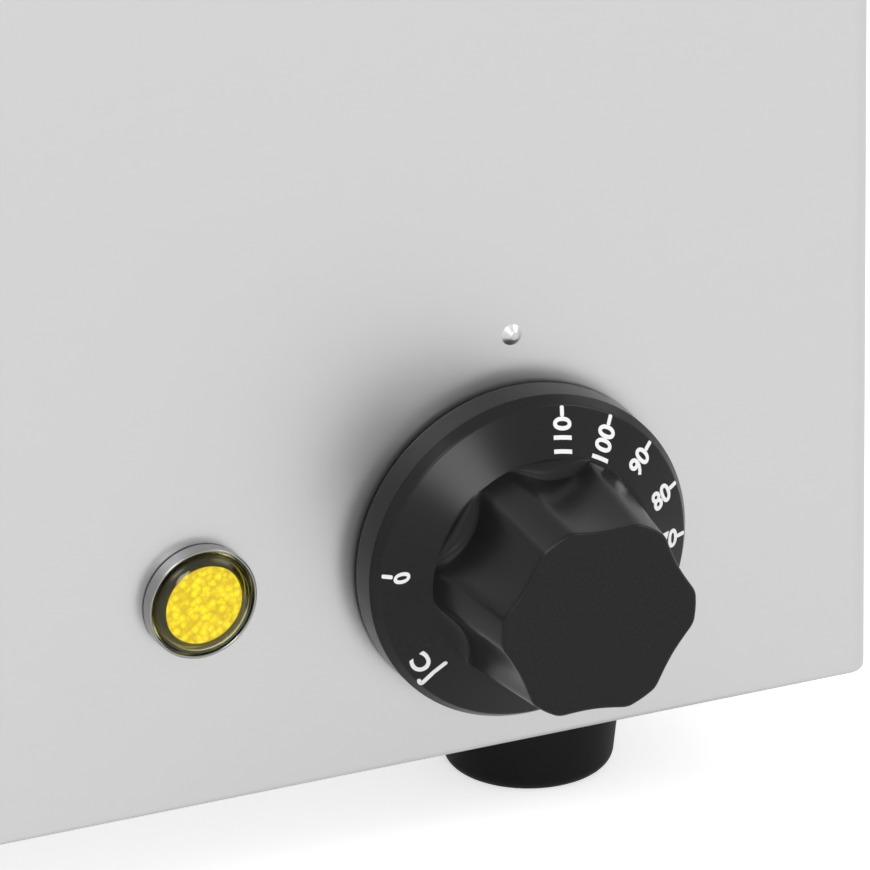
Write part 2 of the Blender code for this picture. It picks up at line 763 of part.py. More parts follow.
def d_loop(radius, flat, z):
    """Circle cut by a flat on its upper side."""
    return [Vector((point.x, min(point.y, flat), z)) for point in circle_loop(radius, z)]


def make_control_shaft():
    """D-shaped shaft from the thermostat body into the knob's hub."""
    inner = GAP - SHEET - GAP - SHAFT_IN_BODY
    outer = KNOB_STANDOFF + SHAFT_IN_KNOB
    loops = [d_loop(SHAFT_RADIUS, SHAFT_FLAT, z) for z in (inner, outer)]
    shaft = lofted("control_shaft", loops, bright_steel("shaft"))
    place(shaft, (knob_x, front_y, control_z), front_turn)


def scoop_share(angle):
    """0 on a lobe to 1 in the middle of a scoop; each scoop is a parabola across its width."""
    pitch = 2 * math.pi / SCOOP_COUNT
    offset = (angle - LOBE_ANGLE) % pitch - pitch / 2
    return max(0.0, 1 - (2 * offset / SCOOP_WIDTH) ** 2)


def grip_loop(share, root_z):
    """Section of the grip: its radius narrows from the root and its scoops deepen towards the face."""
    run = min(max((share - SCOOP_START_SHARE) / (SCOOP_FULL_SHARE - SCOOP_START_SHARE), 0.0), 1.0)
    depth = SCOOP_SHARE * GRIP_FACE_RADIUS * run * run * (3 - 2 * run)
    radius = GRIP_FACE_RADIUS + (GRIP_ROOT_RADIUS - GRIP_FACE_RADIUS) * (1 - share) ** 2
    return modulated_loop(radius, depth, root_z + share * GRIP_HEIGHT)


def modulated_loop(radius, depth, z):
    angles = [2 * math.pi * step / GRIP_SIDES for step in range(GRIP_SIDES)]
    points = []
    for angle in angles:
        reach = radius - depth * scoop_share(angle)
        points.append(Vector((reach * math.cos(angle), reach * math.sin(angle), z)))
    return points


def make_knob():
    """Moulded knob: hollow skirt with a hub behind, bevelled arris, conical dial, six-scoop grip."""
    arris_z = KNOB_STANDOFF + SKIRT_THICKNESS
    floor_z = arris_z - SKIRT_WALL
    bevel_z = arris_z + SKIRT_BEVEL_RISE
    root_z = bevel_z + DIAL_RISE
    profile = (
        (HUB_RADIUS, KNOB_STANDOFF), (HUB_RADIUS, floor_z), (SKIRT_RADIUS - SKIRT_WALL, floor_z),
        (SKIRT_RADIUS - SKIRT_WALL, KNOB_STANDOFF), (SKIRT_RADIUS, KNOB_STANDOFF), (SKIRT_RADIUS, arris_z),
        (SKIRT_RADIUS - SKIRT_BEVEL, bevel_z),
    )
    loops = [circle_loop(radius, z, GRIP_SIDES) for radius, z in profile]
    for step in range(GRIP_STEPS):
        loops.append(grip_loop(step / GRIP_STEPS, root_z))
    depth = SCOOP_SHARE * GRIP_FACE_RADIUS
    face_z = root_z + GRIP_HEIGHT
    loops.append(modulated_loop(GRIP_FACE_RADIUS, depth, face_z - GRIP_EDGE))
    loops.append(modulated_loop(GRIP_FACE_RADIUS - GRIP_EDGE, depth, face_z))
    knob = lofted("control_knob", loops, black_plastic("knob"))
    place(knob, (knob_x, front_y, control_z), front_turn)
    bore = bmesh.new()
    ends = (KNOB_STANDOFF - OVERRUN, KNOB_STANDOFF + SHAFT_IN_KNOB + GAP)
    loft_into(bore, [d_loop(SHAFT_RADIUS + GAP, SHAFT_FLAT + GAP, z) for z in ends])
    combine(knob, bore, "DIFFERENCE")


def make_sensor():
    """Sensor bulb under the well's floor, and its capillary from the thermostat body, in one tube."""
    bulb_z = well_under - GAP - BULB_RADIUS
    start_y = front_y + SHEET + GAP + BODY_DEPTH + GAP
    start = (knob_x, start_y, control_z)
    out_y = start_y + 2 * CAPILLARY_BEND
    end_x = knob_x - BODY_WIDTH / 2 - CAPILLARY_BEND
    bends = [start, (knob_x, out_y, control_z), (knob_x, out_y, bulb_z), (end_x, out_y, bulb_z)]
    thin = rounded_path(bends, CAPILLARY_BEND)
    bulb_start = thin[-1]
    bulb_end = bulb_start - Vector((BULB_LENGTH, 0.0, 0.0))
    path = thin + [bulb_start, bulb_end]
    radii = [CAPILLARY_RADIUS] * len(thin) + [BULB_RADIUS, BULB_RADIUS]
    lofted("sensor_bulb", sweep_loops(path, radii, ROD_SIDES), plated_brass("sensor"))


def make_lamp():
    """Pilot lamp: bezel ring, domed lens, body behind the panel and the clip that holds it."""
    inner = BEZEL_RADIUS - BEZEL_WALL
    bezel = [
        (inner, GAP), (BEZEL_RADIUS, GAP), (BEZEL_RADIUS, GAP + BEZEL_HEIGHT - BEZEL_EDGE),
        (BEZEL_RADIUS - BEZEL_EDGE, GAP + BEZEL_HEIGHT), (inner, GAP + BEZEL_HEIGHT),
    ]
    spot = (lamp_x, front_y, lamp_z)
    place(turned("lamp_bezel", bezel, bright_steel("bezel"), ring=True), spot, front_turn)
    lens_radius = inner - GAP
    lens = [(lens_radius, GAP), (lens_radius, GAP + LENS_FLANGE)]
    for step in range(1, LENS_STEPS):
        angle = QUARTER * step / LENS_STEPS
        lens.append((lens_radius * math.cos(angle), GAP + LENS_FLANGE + LENS_DOME * math.sin(angle)))
    place(turned("lamp_lens", lens, amber_plastic("lens")), spot, front_turn)
    body = [(LAMP_BODY_RADIUS, -LAMP_BODY_LENGTH), (LAMP_BODY_RADIUS, 0.0)]
    place(turned("lamp_body", body, black_plastic("lamp_body")), spot, front_turn)
    back = -SHEET - GAP
    clip = [
        (LAMP_BODY_RADIUS + GAP, back - LAMP_CLIP_THICKNESS), (LAMP_CLIP_RADIUS, back - LAMP_CLIP_THICKNESS),
        (LAMP_CLIP_RADIUS, back), (LAMP_BODY_RADIUS + GAP, back),
    ]
    place(turned("lamp_clip", clip, satin_steel("clip"), ring=True), spot, front_turn)


def make_gland():
    """Open cable gland in the rear wall, its dome outside and its lock nut inside."""
    hex_end = GAP + GLAND_HEX_LENGTH
    dome_end = hex_end + GLAND_DOME_LENGTH
    profile = [
        (GLAND_BORE, -GLAND_THREAD_LENGTH), (GLAND_THREAD_RADIUS, -GLAND_THREAD_LENGTH),
        (GLAND_THREAD_RADIUS, GAP), (GLAND_HEX_RADIUS, GAP), (GLAND_HEX_RADIUS, hex_end),
        (GLAND_DOME_RADIUS, hex_end), (GLAND_DOME_RADIUS, dome_end - GLAND_DOME_EDGE),
    ]
    for step in range(1, EDGE_STEPS + 1):
        angle = QUARTER * step / EDGE_STEPS
        radius = GLAND_DOME_RADIUS - GLAND_DOME_EDGE * (1 - math.cos(angle))
        profile.append((radius, dome_end - GLAND_DOME_EDGE * (1 - math.sin(angle))))
    profile.append((GLAND_BORE, dome_end))
    spot = (gland_x, rear_y, gland_z)
    place(turned("cable_gland", profile, black_plastic("gland"), ring=True), spot, rear_turn)
    top = -SHEET - GAP
    hex_nut(
        "gland_nut", GLAND_HEX_RADIUS, GLAND_THREAD_RADIUS + GAP, top - GLAND_NUT_THICKNESS, top,
        spot, rear_turn, black_plastic("gland_nut"))


def make_terminal_block():
    """Terminal block on the base plate, near the gland, with a wire hole for each way."""
    y = rear_y - TERMINAL_FROM_REAR
    low = plate_top + GAP
    shape = bmesh.new()
    corner = (gland_x - TERMINAL_LENGTH / 2, y - TERMINAL_DEPTH / 2, low)
    box_into(shape, corner, (gland_x + TERMINAL_LENGTH / 2, y + TERMINAL_DEPTH / 2, low + TERMINAL_HEIGHT))
    block = new_object("terminal_block", shape, pale_ceramic("terminals"))
    holes = bmesh.new()
    pitch = TERMINAL_LENGTH / TERMINAL_WAYS
    z = low + TERMINAL_HEIGHT / 2
    for way in range(TERMINAL_WAYS):
        x = gland_x + (way - (TERMINAL_WAYS - 1) / 2) * pitch
        reach = TERMINAL_DEPTH / 2 + OVERRUN
        rod_into(holes, (x, y - reach, z), (x, y + reach, z), TERMINAL_HOLE)
    combine(block, holes, "DIFFERENCE")


def make_drain():
    """Drain pipe from the well's floor, bent forward through the panel, and its lock nut."""
    y = front_y + DRAIN_FROM_FRONT
    corners = [(tap_x, y, well_under - GAP), (tap_x, y, control_z), (tap_x, front_y - TAP_SOCKET, control_z)]
    bent_pipe("drain_pipe", corners, PIPE_BEND, PIPE_RADIUS, PIPE_BORE, bright_steel("drain"))
    top = -SHEET - GAP
    hex_nut(
        "tap_lock_nut", TAP_FLANGE_RADIUS, PIPE_RADIUS + GAP, top - TAP_FLANGE_THICKNESS, top,
        (tap_x, front_y, control_z), front_turn, plated_brass("lock_nut"))


def make_tap_body():
    """Turned valve body: flange, neck, ball barrel and outlet neck, with the ball's chamber inside."""
    flange = GAP + TAP_FLANGE_THICKNESS
    barrel = flange + TAP_NECK_LENGTH
    barrel_end = barrel + TAP_BARREL_LENGTH
    outlet = barrel_end + TAP_NECK_LENGTH
    end = outlet + TAP_FLANGE_THICKNESS
    socket = PIPE_RADIUS + GAP
    profile = [
        (socket, GAP), (TAP_FLANGE_RADIUS, GAP), (TAP_FLANGE_RADIUS, flange), (TAP_NECK_RADIUS, flange),
        (TAP_NECK_RADIUS, barrel), (TAP_BARREL_RADIUS - TAP_BARREL_CHAMFER, barrel),
        (TAP_BARREL_RADIUS, barrel + TAP_BARREL_CHAMFER),
        (TAP_BARREL_RADIUS, barrel_end - TAP_BARREL_CHAMFER),
        (TAP_BARREL_RADIUS - TAP_BARREL_CHAMFER, barrel_end), (TAP_NECK_RADIUS, barrel_end),
        (TAP_NECK_RADIUS, outlet), (TAP_FLANGE_RADIUS - TAP_BARREL_CHAMFER, outlet),
        (TAP_FLANGE_RADIUS - TAP_BARREL_CHAMFER, end), (socket, end), (socket, end - TAP_SOCKET),
        (PIPE_BORE, end - TAP_SOCKET),
    ]
    chamber = BALL_RADIUS + GAP
    reach = math.acos(PIPE_BORE / chamber)
    for step in range(BALL_STEPS + 1):
        angle = reach - 2 * reach * step / BALL_STEPS
        profile.append((chamber * math.cos(angle), ball_out + chamber * math.sin(angle)))
    profile += [(PIPE_BORE, GAP + TAP_SOCKET + GAP), (socket, GAP + TAP_SOCKET + GAP)]
    body = turned("tap_body", profile, plated_brass("tap"), ring=True)
    place(body, (tap_x, front_y, control_z), front_turn)
    hole = bmesh.new()
    start = (0.0, 0.0, ball_out)
    rod_into(hole, start, (0.0, TAP_BARREL_RADIUS + OVERRUN, ball_out), STEM_RADIUS + GAP)
    combine(body, hole, "DIFFERENCE")


def make_tap_ball():
    """Bored ball with its stem; at rest the bore lies across the pipe and the tap is shut."""
    reach = math.acos(PIPE_BORE / BALL_RADIUS)
    profile = []
    for step in range(BALL_STEPS + 1):
        angle = 2 * reach * step / BALL_STEPS - reach
        profile.append((BALL_RADIUS * math.cos(angle), BALL_RADIUS * math.sin(angle)))
    ball = turned("tap_ball", profile, plated_brass("ball"), ring=True, sides=ROUND_SIDES)
    place(ball, (tap_x, front_y - ball_out, control_z), (0.0, QUARTER, 0.0))
    stem = bmesh.new()
    middle = (BALL_RADIUS + PIPE_BORE) / 2
    top = TAP_BARREL_RADIUS + STEM_ABOVE_BARREL
    rod_into(stem, (-middle, 0.0, 0.0), (-top, 0.0, 0.0), STEM_RADIUS)
    combine(ball, stem, "UNION")


def make_tap_lever():
    """Cranked flat lever on the stem, with a dipped grip and a nut on top."""
    half = LEVER_WIDTH / 2
    outline = [(-half, 0.0), (half, 0.0), (half + LEVER_CRANK, LEVER_CRANK), (LEVER_LENGTH, LEVER_CRANK)]
    loops = []
    for x, z in outline:
        ends = ((-half, z), (half, z), (half, z + LEVER_THICKNESS), (-half, z + LEVER_THICKNESS))
        loops.append([Vector((x, y, height)) for y, height in ends])
    lever = lofted("tap_lever", loops, bright_steel("lever"))
    spot = (tap_x, front_y - ball_out, lever_z)
    place(lever, spot)
    hole = bmesh.new()
    rod_into(hole, (0.0, 0.0, -OVERRUN), (0.0, 0.0, LEVER_THICKNESS + OVERRUN), STEM_RADIUS + GAP)
    combine(lever, hole, "DIFFERENCE")
    low = LEVER_THICKNESS + GAP
    hex_nut("tap_lever_nut", NUT_RADIUS, STEM_RADIUS + GAP, low, low + NUT_THICKNESS, spot)
    make_lever_grip(spot)


def make_lever_grip(spot):
    """Plastic sleeve over the lever's end, closed at its tip."""
    half_y = LEVER_WIDTH / 2 + GAP
    half_z = LEVER_THICKNESS / 2 + GAP
    middle = LEVER_CRANK + LEVER_THICKNESS / 2
    start = LEVER_LENGTH - LEVER_GRIP_LENGTH

    def section(x, wall, shrink=0.0):
        across = half_y + wall - shrink
        up = half_z + wall - shrink
        corners = ((-across, -up), (across, -up), (across, up), (-across, up))
        return [Vector((x, y, middle + z)) for y, z in corners]

    tip = LEVER_LENGTH + GAP
    wall = LEVER_GRIP_WALL
    loops = [
        section(tip, 0.0), section(start, 0.0), section(start, wall), section(tip, wall),
        section(tip + wall, wall, wall / 2),
    ]
    place(lofted("tap_lever_grip", loops, black_plastic("lever_grip")), spot)


def make_spout():
    """Spout turned down from the tap's outlet socket."""
    out_y = front_y - GAP - tap_length - SPOUT_BEND
    start = (tap_x, front_y - spout_start, control_z)
    corners = [start, (tap_x, out_y, control_z), (tap_x, out_y, control_z - SPOUT_DROP)]
    bent_pipe("tap_spout", corners, SPOUT_BEND - GAP, PIPE_RADIUS, PIPE_BORE, plated_brass("spout"))


def make_pan(number, x):
    """Drawn pan: tapered walls, rounded floor, flange with a downturned lip."""
    inner_x = PAN_WIDTH / 2 - PAN_FLANGE
    inner_y = PAN_LENGTH / 2 - PAN_FLANGE
    inside = cup_loops(inner_x, inner_y, PAN_CORNER, pan_top, PAN_DEPTH, PAN_TAPER, PAN_FILLET)
    outside = cup_loops(
        inner_x + SHEET, inner_y + SHEET, PAN_CORNER + SHEET, pan_top - SHEET, PAN_DEPTH, PAN_TAPER,
        PAN_FILLET + SHEET)
    rim = []
    for inset, z in ((0.0, pan_top), (0.0, lip_bottom), (SHEET, lip_bottom), (SHEET, pan_top - SHEET)):
        corner = corner_for(PAN_OUTER_CORNER, inset)
        rim.append(rounded_loop(PAN_WIDTH / 2 - inset, PAN_LENGTH / 2 - inset, z, corner))
    pan = lofted("pan_" + str(number), inside + rim + list(reversed(outside)), satin_steel("pan"))
    place(pan, (x, case_y, 0.0))


def leaf_loops(side, centre_y, half_y):
    """Pressed leaf about the hinge axis: raised panel, flat border, and a skirt that enters the pan."""
    top = lid_top - hinge_z
    skirt = PAN_FLANGE - LID_INSET + LID_SKIRT_PLAY
    under = top - SHEET
    slope_end = LID_PANEL_INSET + LID_PANEL_SLOPE
    section = (
        (slope_end, top + LID_PANEL_RISE), (LID_PANEL_INSET, top), (0.0, top), (0.0, under), (skirt, under),
        (skirt, under - LID_SKIRT), (skirt + SHEET, under - LID_SKIRT), (skirt + SHEET, under),
        (LID_PANEL_INSET, under), (slope_end, under + LID_PANEL_RISE),
    )
    loops = []
    for inset, z in section:
        outer = LID_CORNER if inset == 0.0 else PAN_CORNER - LID_SKIRT_PLAY - (inset - skirt)
        seam = corner_for(LID_SEAM_CORNER, inset)
        rear, front = (outer, seam) if side > 0 else (seam, outer)
        loops.append(rounded_loop(lid_half_x - inset, half_y - inset, z, rear, front, (0.0, centre_y)))
    return loops


def knuckle_into(shape, x, side):
    """One knuckle with its foot on the plate; side is 1 for the rear leaf and -1 for the front one."""
    plate = lid_top - hinge_z - SHEET / 2
    start = LID_SEAM / 2 + GAP
    outline = [(start, plate), (KNUCKLE_RADIUS, plate)]
    for step in range(3 * EDGE_STEPS + 1):
        angle = QUARTER * step / EDGE_STEPS
        outline.append((KNUCKLE_RADIUS * math.cos(angle), KNUCKLE_RADIUS * math.sin(angle)))
    half = KNUCKLE_LENGTH / 2 - GAP / 2
    loops = [[Vector((x + end * half, side * y, z)) for y, z in outline] for end in (-1, 1)]
    loft_into(shape, loops)


def stop_into(shape, x):
    """Stop tab on a front knuckle, which meets the rear leaf when the lid is fully open."""
    drop = KNUCKLE_RADIUS + KNUCKLE_LIFT - GAP
    angle = LID_OPEN_ANGLE - math.asin(drop / STOP_REACH)
    along = Vector((0.0, math.cos(angle), math.sin(angle)))
    across = Vector((0.0, -along.z, along.y)) * STOP_THICKNESS
    root = along * (KNUCKLE_RADIUS - SHEET / 2)
    tip = along * STOP_REACH
    half = KNUCKLE_LENGTH / 4
    loops = []
    for end in (-half, half):
        shift = Vector((x + end, 0.0, 0.0))
        loops.append([root + shift, tip + shift, tip + across + shift, root + across + shift])
    loft_into(shape, loops)


def knuckle_places(side):
    """Knuckles alternate along the axis; the rear leaf has the first and the last."""
    first = 0 if side > 0 else 1
    middle = (KNUCKLE_COUNT - 1) / 2
    return [(number - middle) * KNUCKLE_LENGTH for number in range(first, KNUCKLE_COUNT, 2)]


def make_leaf(name, x, side, centre_y, half_y):
    leaf = lofted(name, leaf_loops(side, centre_y, half_y), satin_steel("lid"))
    place(leaf, (x, hinge_y, hinge_z))
    knuckles = bmesh.new()
    for spot in knuckle_places(side):
        knuckle_into(knuckles, spot, side)
    combine(leaf, knuckles, "UNION")
    if side < 0:
        stops = bmesh.new()
        for spot in knuckle_places(side):
            stop_into(stops, spot)
        combine(leaf, stops, "UNION")
    bore = bmesh.new()
    reach = KNUCKLE_COUNT * KNUCKLE_LENGTH / 2 + OVERRUN
    rod_into(bore, (-reach, 0.0, 0.0), (reach, 0.0, 0.0), PIN_RADIUS + GAP)
    combine(leaf, bore, "DIFFERENCE")


def make_lid(number, x):
    """Two pressed leaves on one pin, and a bent handle on the front leaf."""
    rear_y = LID_SEAM / 2 + lid_rear_length / 2
    front_y_centre = -LID_SEAM / 2 - lid_front_length / 2
    make_leaf("lid_rear_" + str(number), x, 1, rear_y, lid_rear_length / 2)
    make_leaf("lid_front_" + str(number), x, -1, front_y_centre, lid_front_length / 2)
    pin = bmesh.new()
    reach = KNUCKLE_COUNT * KNUCKLE_LENGTH / 2 + GAP
    rod_into(pin, (-reach, 0.0, 0.0), (reach, 0.0, 0.0), PIN_RADIUS)
    place(new_object("lid_pin_" + str(number), pin, bright_steel("pin")), (x, hinge_y, hinge_z))
    make_handle(number, x)


def make_handle(number, x):
    """Round bar bent to a bridge, its feet on the front leaf's raised panel."""
    foot = lid_top + LID_PANEL_RISE - hinge_z + GAP
    top = foot + HANDLE_HEIGHT
    y = -LID_SEAM / 2 - lid_front_length + HANDLE_FROM_EDGE
    half = HANDLE_SPAN / 2
    path = rounded_path([(-half, y, foot), (-half, y, top), (half, y, top), (half, y, foot)], HANDLE_BEND)
    loops = sweep_loops(path, [HANDLE_RADIUS] * len(path), ROD_SIDES)
    place(lofted("lid_handle_" + str(number), loops, bright_steel("handle")), (x, hinge_y, hinge_z))


def main():
    clear_scene()
    make_casing()
    make_base_plate()
    for name, x, y in foot_places():
        make_foot(name, x, y)
        make_foot_screw(name, x, y)
    make_deck()
    make_well()
    for number, x in enumerate(bar_places(), 1):
        make_bar(number, x)
    make_element()
    for number, side in enumerate((-1, 1), 1):
        make_clamp(number, side * CLAMP_FROM_CENTRE)
    for number, (x, y) in enumerate(stud_places(), 1):
        make_clamp_nut(number, x, y)
    make_thermostat()
    make_control_shaft()
    make_knob()
    make_sensor()
    make_lamp()
    make_gland()
    make_terminal_block()
    make_drain()
    make_tap_body()
    make_tap_ball()
    make_tap_lever()
    make_spout()
    for number in range(PAN_COUNT):
        x = (number - (PAN_COUNT - 1) / 2) * pan_pitch
        make_pan(number + 1, x)
        make_lid(number + 1, x)


main()
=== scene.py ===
"""Looks of a countertop electric bain-marie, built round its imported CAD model.

Metres, +Z up, front towards -Y. Every new piece is a surface worked out from a section or an
outline, and its place comes from the CAD nodes and joints that it belongs to.
"""
import json
import math

import bmesh
import bpy
import numpy as np
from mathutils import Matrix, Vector


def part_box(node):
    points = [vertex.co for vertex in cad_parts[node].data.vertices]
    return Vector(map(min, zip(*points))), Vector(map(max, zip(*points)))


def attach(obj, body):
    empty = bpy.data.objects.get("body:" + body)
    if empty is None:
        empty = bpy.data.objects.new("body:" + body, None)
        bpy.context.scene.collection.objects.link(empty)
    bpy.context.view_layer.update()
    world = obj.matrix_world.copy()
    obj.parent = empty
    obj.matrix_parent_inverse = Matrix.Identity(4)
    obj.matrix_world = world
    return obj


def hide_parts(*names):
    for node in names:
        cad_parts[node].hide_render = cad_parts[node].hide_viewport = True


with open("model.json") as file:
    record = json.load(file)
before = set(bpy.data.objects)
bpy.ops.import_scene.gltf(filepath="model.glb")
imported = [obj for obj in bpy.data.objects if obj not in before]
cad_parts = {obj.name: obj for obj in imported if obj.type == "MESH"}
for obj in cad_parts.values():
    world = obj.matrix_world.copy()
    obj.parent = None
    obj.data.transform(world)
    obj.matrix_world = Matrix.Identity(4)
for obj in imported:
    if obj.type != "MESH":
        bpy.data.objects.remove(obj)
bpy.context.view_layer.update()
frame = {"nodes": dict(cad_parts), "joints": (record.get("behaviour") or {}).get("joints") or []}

# Clearance between touching pieces, sheet thickness, and how far a cutter runs past what it cuts
GAP = 0.0003
SHEET = 0.001
OVERRUN = 0.003

# Roundness: steps of an arc, sides of a turned piece, the step kept flat beside an arc, the share of
# a side that an arc may take, the hole left at a turned pole, and the angle from which an edge is sharp
ARC_STEPS = 10
ROUND = 96
ROD_SIDES = 48
PIN_SIDES = 32
BORE_SIDES = 40
HOLD = 0.0004
CORNER_ROOM_SHARE = 0.96
POLE_RADIUS = 0.0001
SHARP = math.radians(32)
QUARTER = math.pi / 2
TURN = 2 * math.pi

# Casing, its holes and the pressed pip
CASE_BEND = 0.0040
CASE_FOLD = 0.012
FOLD_BEND = 0.0012
APRON_BEND = 0.0028
PIP_RADIUS = 0.0027
PIP_RISE = 0.0011
PIP_SINK = 0.0002
PIP_ABOVE_KNOB = 0.043
PIP_STEPS = 15
PIP_POLE_SHARE = 0.02
PIP_CROWN_SHARE = 1.25
PIP_FOOT_SHARE = 0.03
SHAFT_HOLE_RADIUS = 0.005
LAMP_HOLE_RADIUS = 0.0088
SCREW_HOLE_RADIUS = 0.0023
SCREW_FROM_KNOB = 0.014

# Well, cross bars and drain
WELL_CORNER = 0.025
WELL_FILLET = 0.012
WELL_TAPER = 0.002
CUP_FLOOR_INSET = 0.060
CUP_LEAST_CORNER = 0.006
PAN_REST = 0.010
BAR_WIDTH = 0.018
BAR_TONGUE = 0.008
STUD_RADIUS = 0.0025
STUD_LENGTH = 0.018
STUD_X = 0.090
STUD_Y = 0.050
DRAIN_BORE = 0.006
DRAIN_FROM_FRONT = 0.062
DRAIN_OVERRUN = 0.004

# Pans
PAN_DEPTH = 0.100
PAN_FLANGE = 0.012
PAN_LIP = 0.004
PAN_TAPER = 0.006
PAN_CORNER = 0.022
PAN_OUTER_CORNER = 0.014
PAN_FILLET_SHARE = 0.12
PAN_MOUTH_BEND = 0.002
PAN_RIM_BEND = 0.0016

# Lids, knuckles, pins and handles
LID_CORNER = 0.012
LID_SEAM_CORNER = 0.0015
LID_SKIRT = 0.004
LID_SKIRT_INSET = 0.0105
LID_PANEL_INSET = 0.018
LID_PANEL_SLOPE = 0.004
LID_PANEL_RISE = 0.003
LID_PANEL_BEND = 0.002
LID_PANEL_FLAT = 0.004
LID_SIDE_GAP = 0.0025
LID_SKIRT_GAP = 0.001
LID_INNER_CORNER = 0.004
LID_SEAM_SKIRT_CORNER = 0.003
LID_SEAM = 0.0015
KNUCKLE_COUNT = 5
KNUCKLE_LENGTH = 0.018
KNUCKLE_RADIUS = 0.003
KNUCKLE_LIFT = 0.0004
KNUCKLE_STEPS = 37
PIN_RADIUS = 0.00125
STOP_REACH = 0.005
STOP_THICKNESS = 0.0012
LID_OPEN_ANGLE = math.radians(105)
HANDLE_SPAN = 0.090
HANDLE_RADIUS = 0.003
HANDLE_BEND = 0.010
HANDLE_BEND_STEPS = 20
HANDLE_SIDES = 40

# Knob: skirt, conical dial and scooped grip
KNOB_STANDOFF = 0.001
SKIRT_RADIUS = 0.033
SKIRT_THICKNESS = 0.006
SKIRT_WALL = 0.0025
SKIRT_BEVEL = 0.0013
SKIRT_BEVEL_RISE = 0.0022
DIAL_RISE = 0.0044
GRIP_ROOT_RADIUS = 0.0228
GRIP_FACE_RADIUS = 0.0202
GRIP_HEIGHT = 0.0255
GRIP_EDGE = 0.0007
GRIP_SIDES = 360
GRIP_RINGS = 24
SCOOP_COUNT = 6
SCOOP_WIDTH = math.radians(41)
SCOOP_ROOT_SHARE = 0.15
SCOOP_FACE_SHARE = 0.09
LEDGE_SHARE = 0.12
LEDGE_RINGS = 14
LOBE_ROUND = 0.30
LOBE_ANGLE = math.radians(-3.5)
EDGE_RINGS = 6
ARRIS_ROUND = 0.0003
CONE_ROUND = 0.0008
FACE_RING_SHARE = 0.5
HUB_RADIUS = 0.008
SHAFT_RADIUS = 0.003
SHAFT_BORE_DEPTH = 0.0143

# Pilot lamp: ring, amber dome, dark cup and prism disc
BEZEL_RADIUS = 0.0112
BEZEL_WALL = 0.0006
BEZEL_HEIGHT = 0.0028
BEZEL_OUTER_ROUND = 0.0007
BEZEL_INNER_ROUND = 0.0003
LENS_FLANGE = 0.0012
LENS_FOOT = 0.0004
LENS_DOME = 0.0038
DOME_FULLNESS = 0.62
DOME_STEPS = 25
LENS_WALL = 0.0007
LENS_POLE_RADIUS = 0.00005
CUP_GAP = 0.0001
CUP_FLOOR = 0.0003
CUP_LEAN = 0.0005
CUP_RISE = 0.0010
PRISM_RADIUS = 0.0080
PRISM_LEVEL = 0.0028
PRISM_PITCH = 0.0014
PRISM_RISE = 0.0005
PRISM_TURN = math.radians(40)
PRISM_SIDES = 192
PRISM_RINGS = 70
PRISM_POLE_SHARE = 0.005
PRISM_FADE = 12

# Feet
FOOT_PLACES = ("front_left", "front_right", "rear_left", "rear_right")
FOOT_TOP_RADIUS = 0.0185
FOOT_FLOOR_RADIUS = 0.0160
FOOT_FLOOR_ROUND = 0.0030
FOOT_EDGE = 0.0004
FOOT_BORE = 0.0028
FOOT_RECESS_RADIUS = 0.0070
FOOT_RECESS_DEPTH = 0.012

# Tap body and spout
THREAD_RADIUS = 0.0083
THREAD_DEPTH = 0.0083
TAP_BORE = 0.006
TAP_FLANGE_RADIUS = 0.015
TAP_FLANGE = 0.0043
TAP_NECK_RADIUS = 0.011
TAP_NECK = 0.008
TAP_BARREL_RADIUS = 0.015
TAP_BARREL = 0.022
TAP_BARREL_ROUND = 0.0020
TAP_EDGE = 0.0008
TAP_RIM_EDGE = 0.0006
TAP_FILLET = 0.0010
TAP_MOUTH_EDGE = 0.0003
TAP_COLLAR_RADIUS = 0.013
TAP_COLLAR = 0.004
SPOUT_SOCKET = 0.008
BALL_SEAT = ((0.0071, TAP_BORE), (0.0048, 0.0080), (0.0, 0.0093), (-0.0048, 0.0080), (-0.0071, TAP_BORE))
STEM_HOLE_RADIUS = 0.0033
STEM_HOLE_LENGTH = 0.020
SPOUT_RADIUS = 0.008
SPOUT_BEND = 0.0157
SPOUT_BEND_STEPS = 16
SPOUT_SIDES = 56

# Lever, its sleeve and nut
LEVER_HALF_WIDTH = 0.006
LEVER_THICKNESS = 0.0025
LEVER_LENGTH = 0.050
LEVER_CRANK = 0.006
LEVER_BEND = 0.003
LEVER_EDGE = 0.0005
LEVER_HOLE_ENDS = (-0.002, 0.005)
SLEEVE_WALL = 0.0015
SLEEVE_CORNER = 0.0014
SLEEVE_LEAST_CORNER = 0.0002
SLEEVE_MOUTH = ((0.0, 0.0004), (0.0004, 0.0), (0.0008, 0.0))
SLEEVE_END = ((0.0016, 0.0), (0.0010, 0.0001), (0.0004, 0.0005), (0.0, 0.0012))
LEVER_NUT_RADIUS = 0.0048
LEVER_NUT_BORE = 0.0028
HEX_SIDES = 96
HEX_CHAMFER_SHARES = ((0.0, 0.90), (0.10, 0.97), (0.20, 1.0), (0.80, 1.0), (0.90, 0.97), (1.0, 0.90))

# Cable gland
GLAND_SIDES = 288
GLAND_BORE = 0.0045
GLAND_BORE_EDGE = 0.0005
GLAND_BORE_ROUND = 0.0004
GLAND_THREAD_RADIUS = 0.008
GLAND_HEX_RADIUS = 0.0125
GLAND_HEX_CHAMFER_RADIUS = 0.0118
GLAND_HEX_CHAMFER = 0.0004
GLAND_HEX_START = 0.0006
GLAND_HEX_END = 0.005
GLAND_NECK_RADIUS = 0.0100
GLAND_NECK = 0.0002
GLAND_CAP_RADIUS = 0.0102
GLAND_CAP_START = 0.0060
GLAND_DOME = 0.003
GLAND_DOME_STEPS = 8
GLAND_RIB_END = 0.0040
GLAND_RIB_COUNT = 24
GLAND_RIB_RISE = 0.00025
GLAND_RIB_FLAT = 2


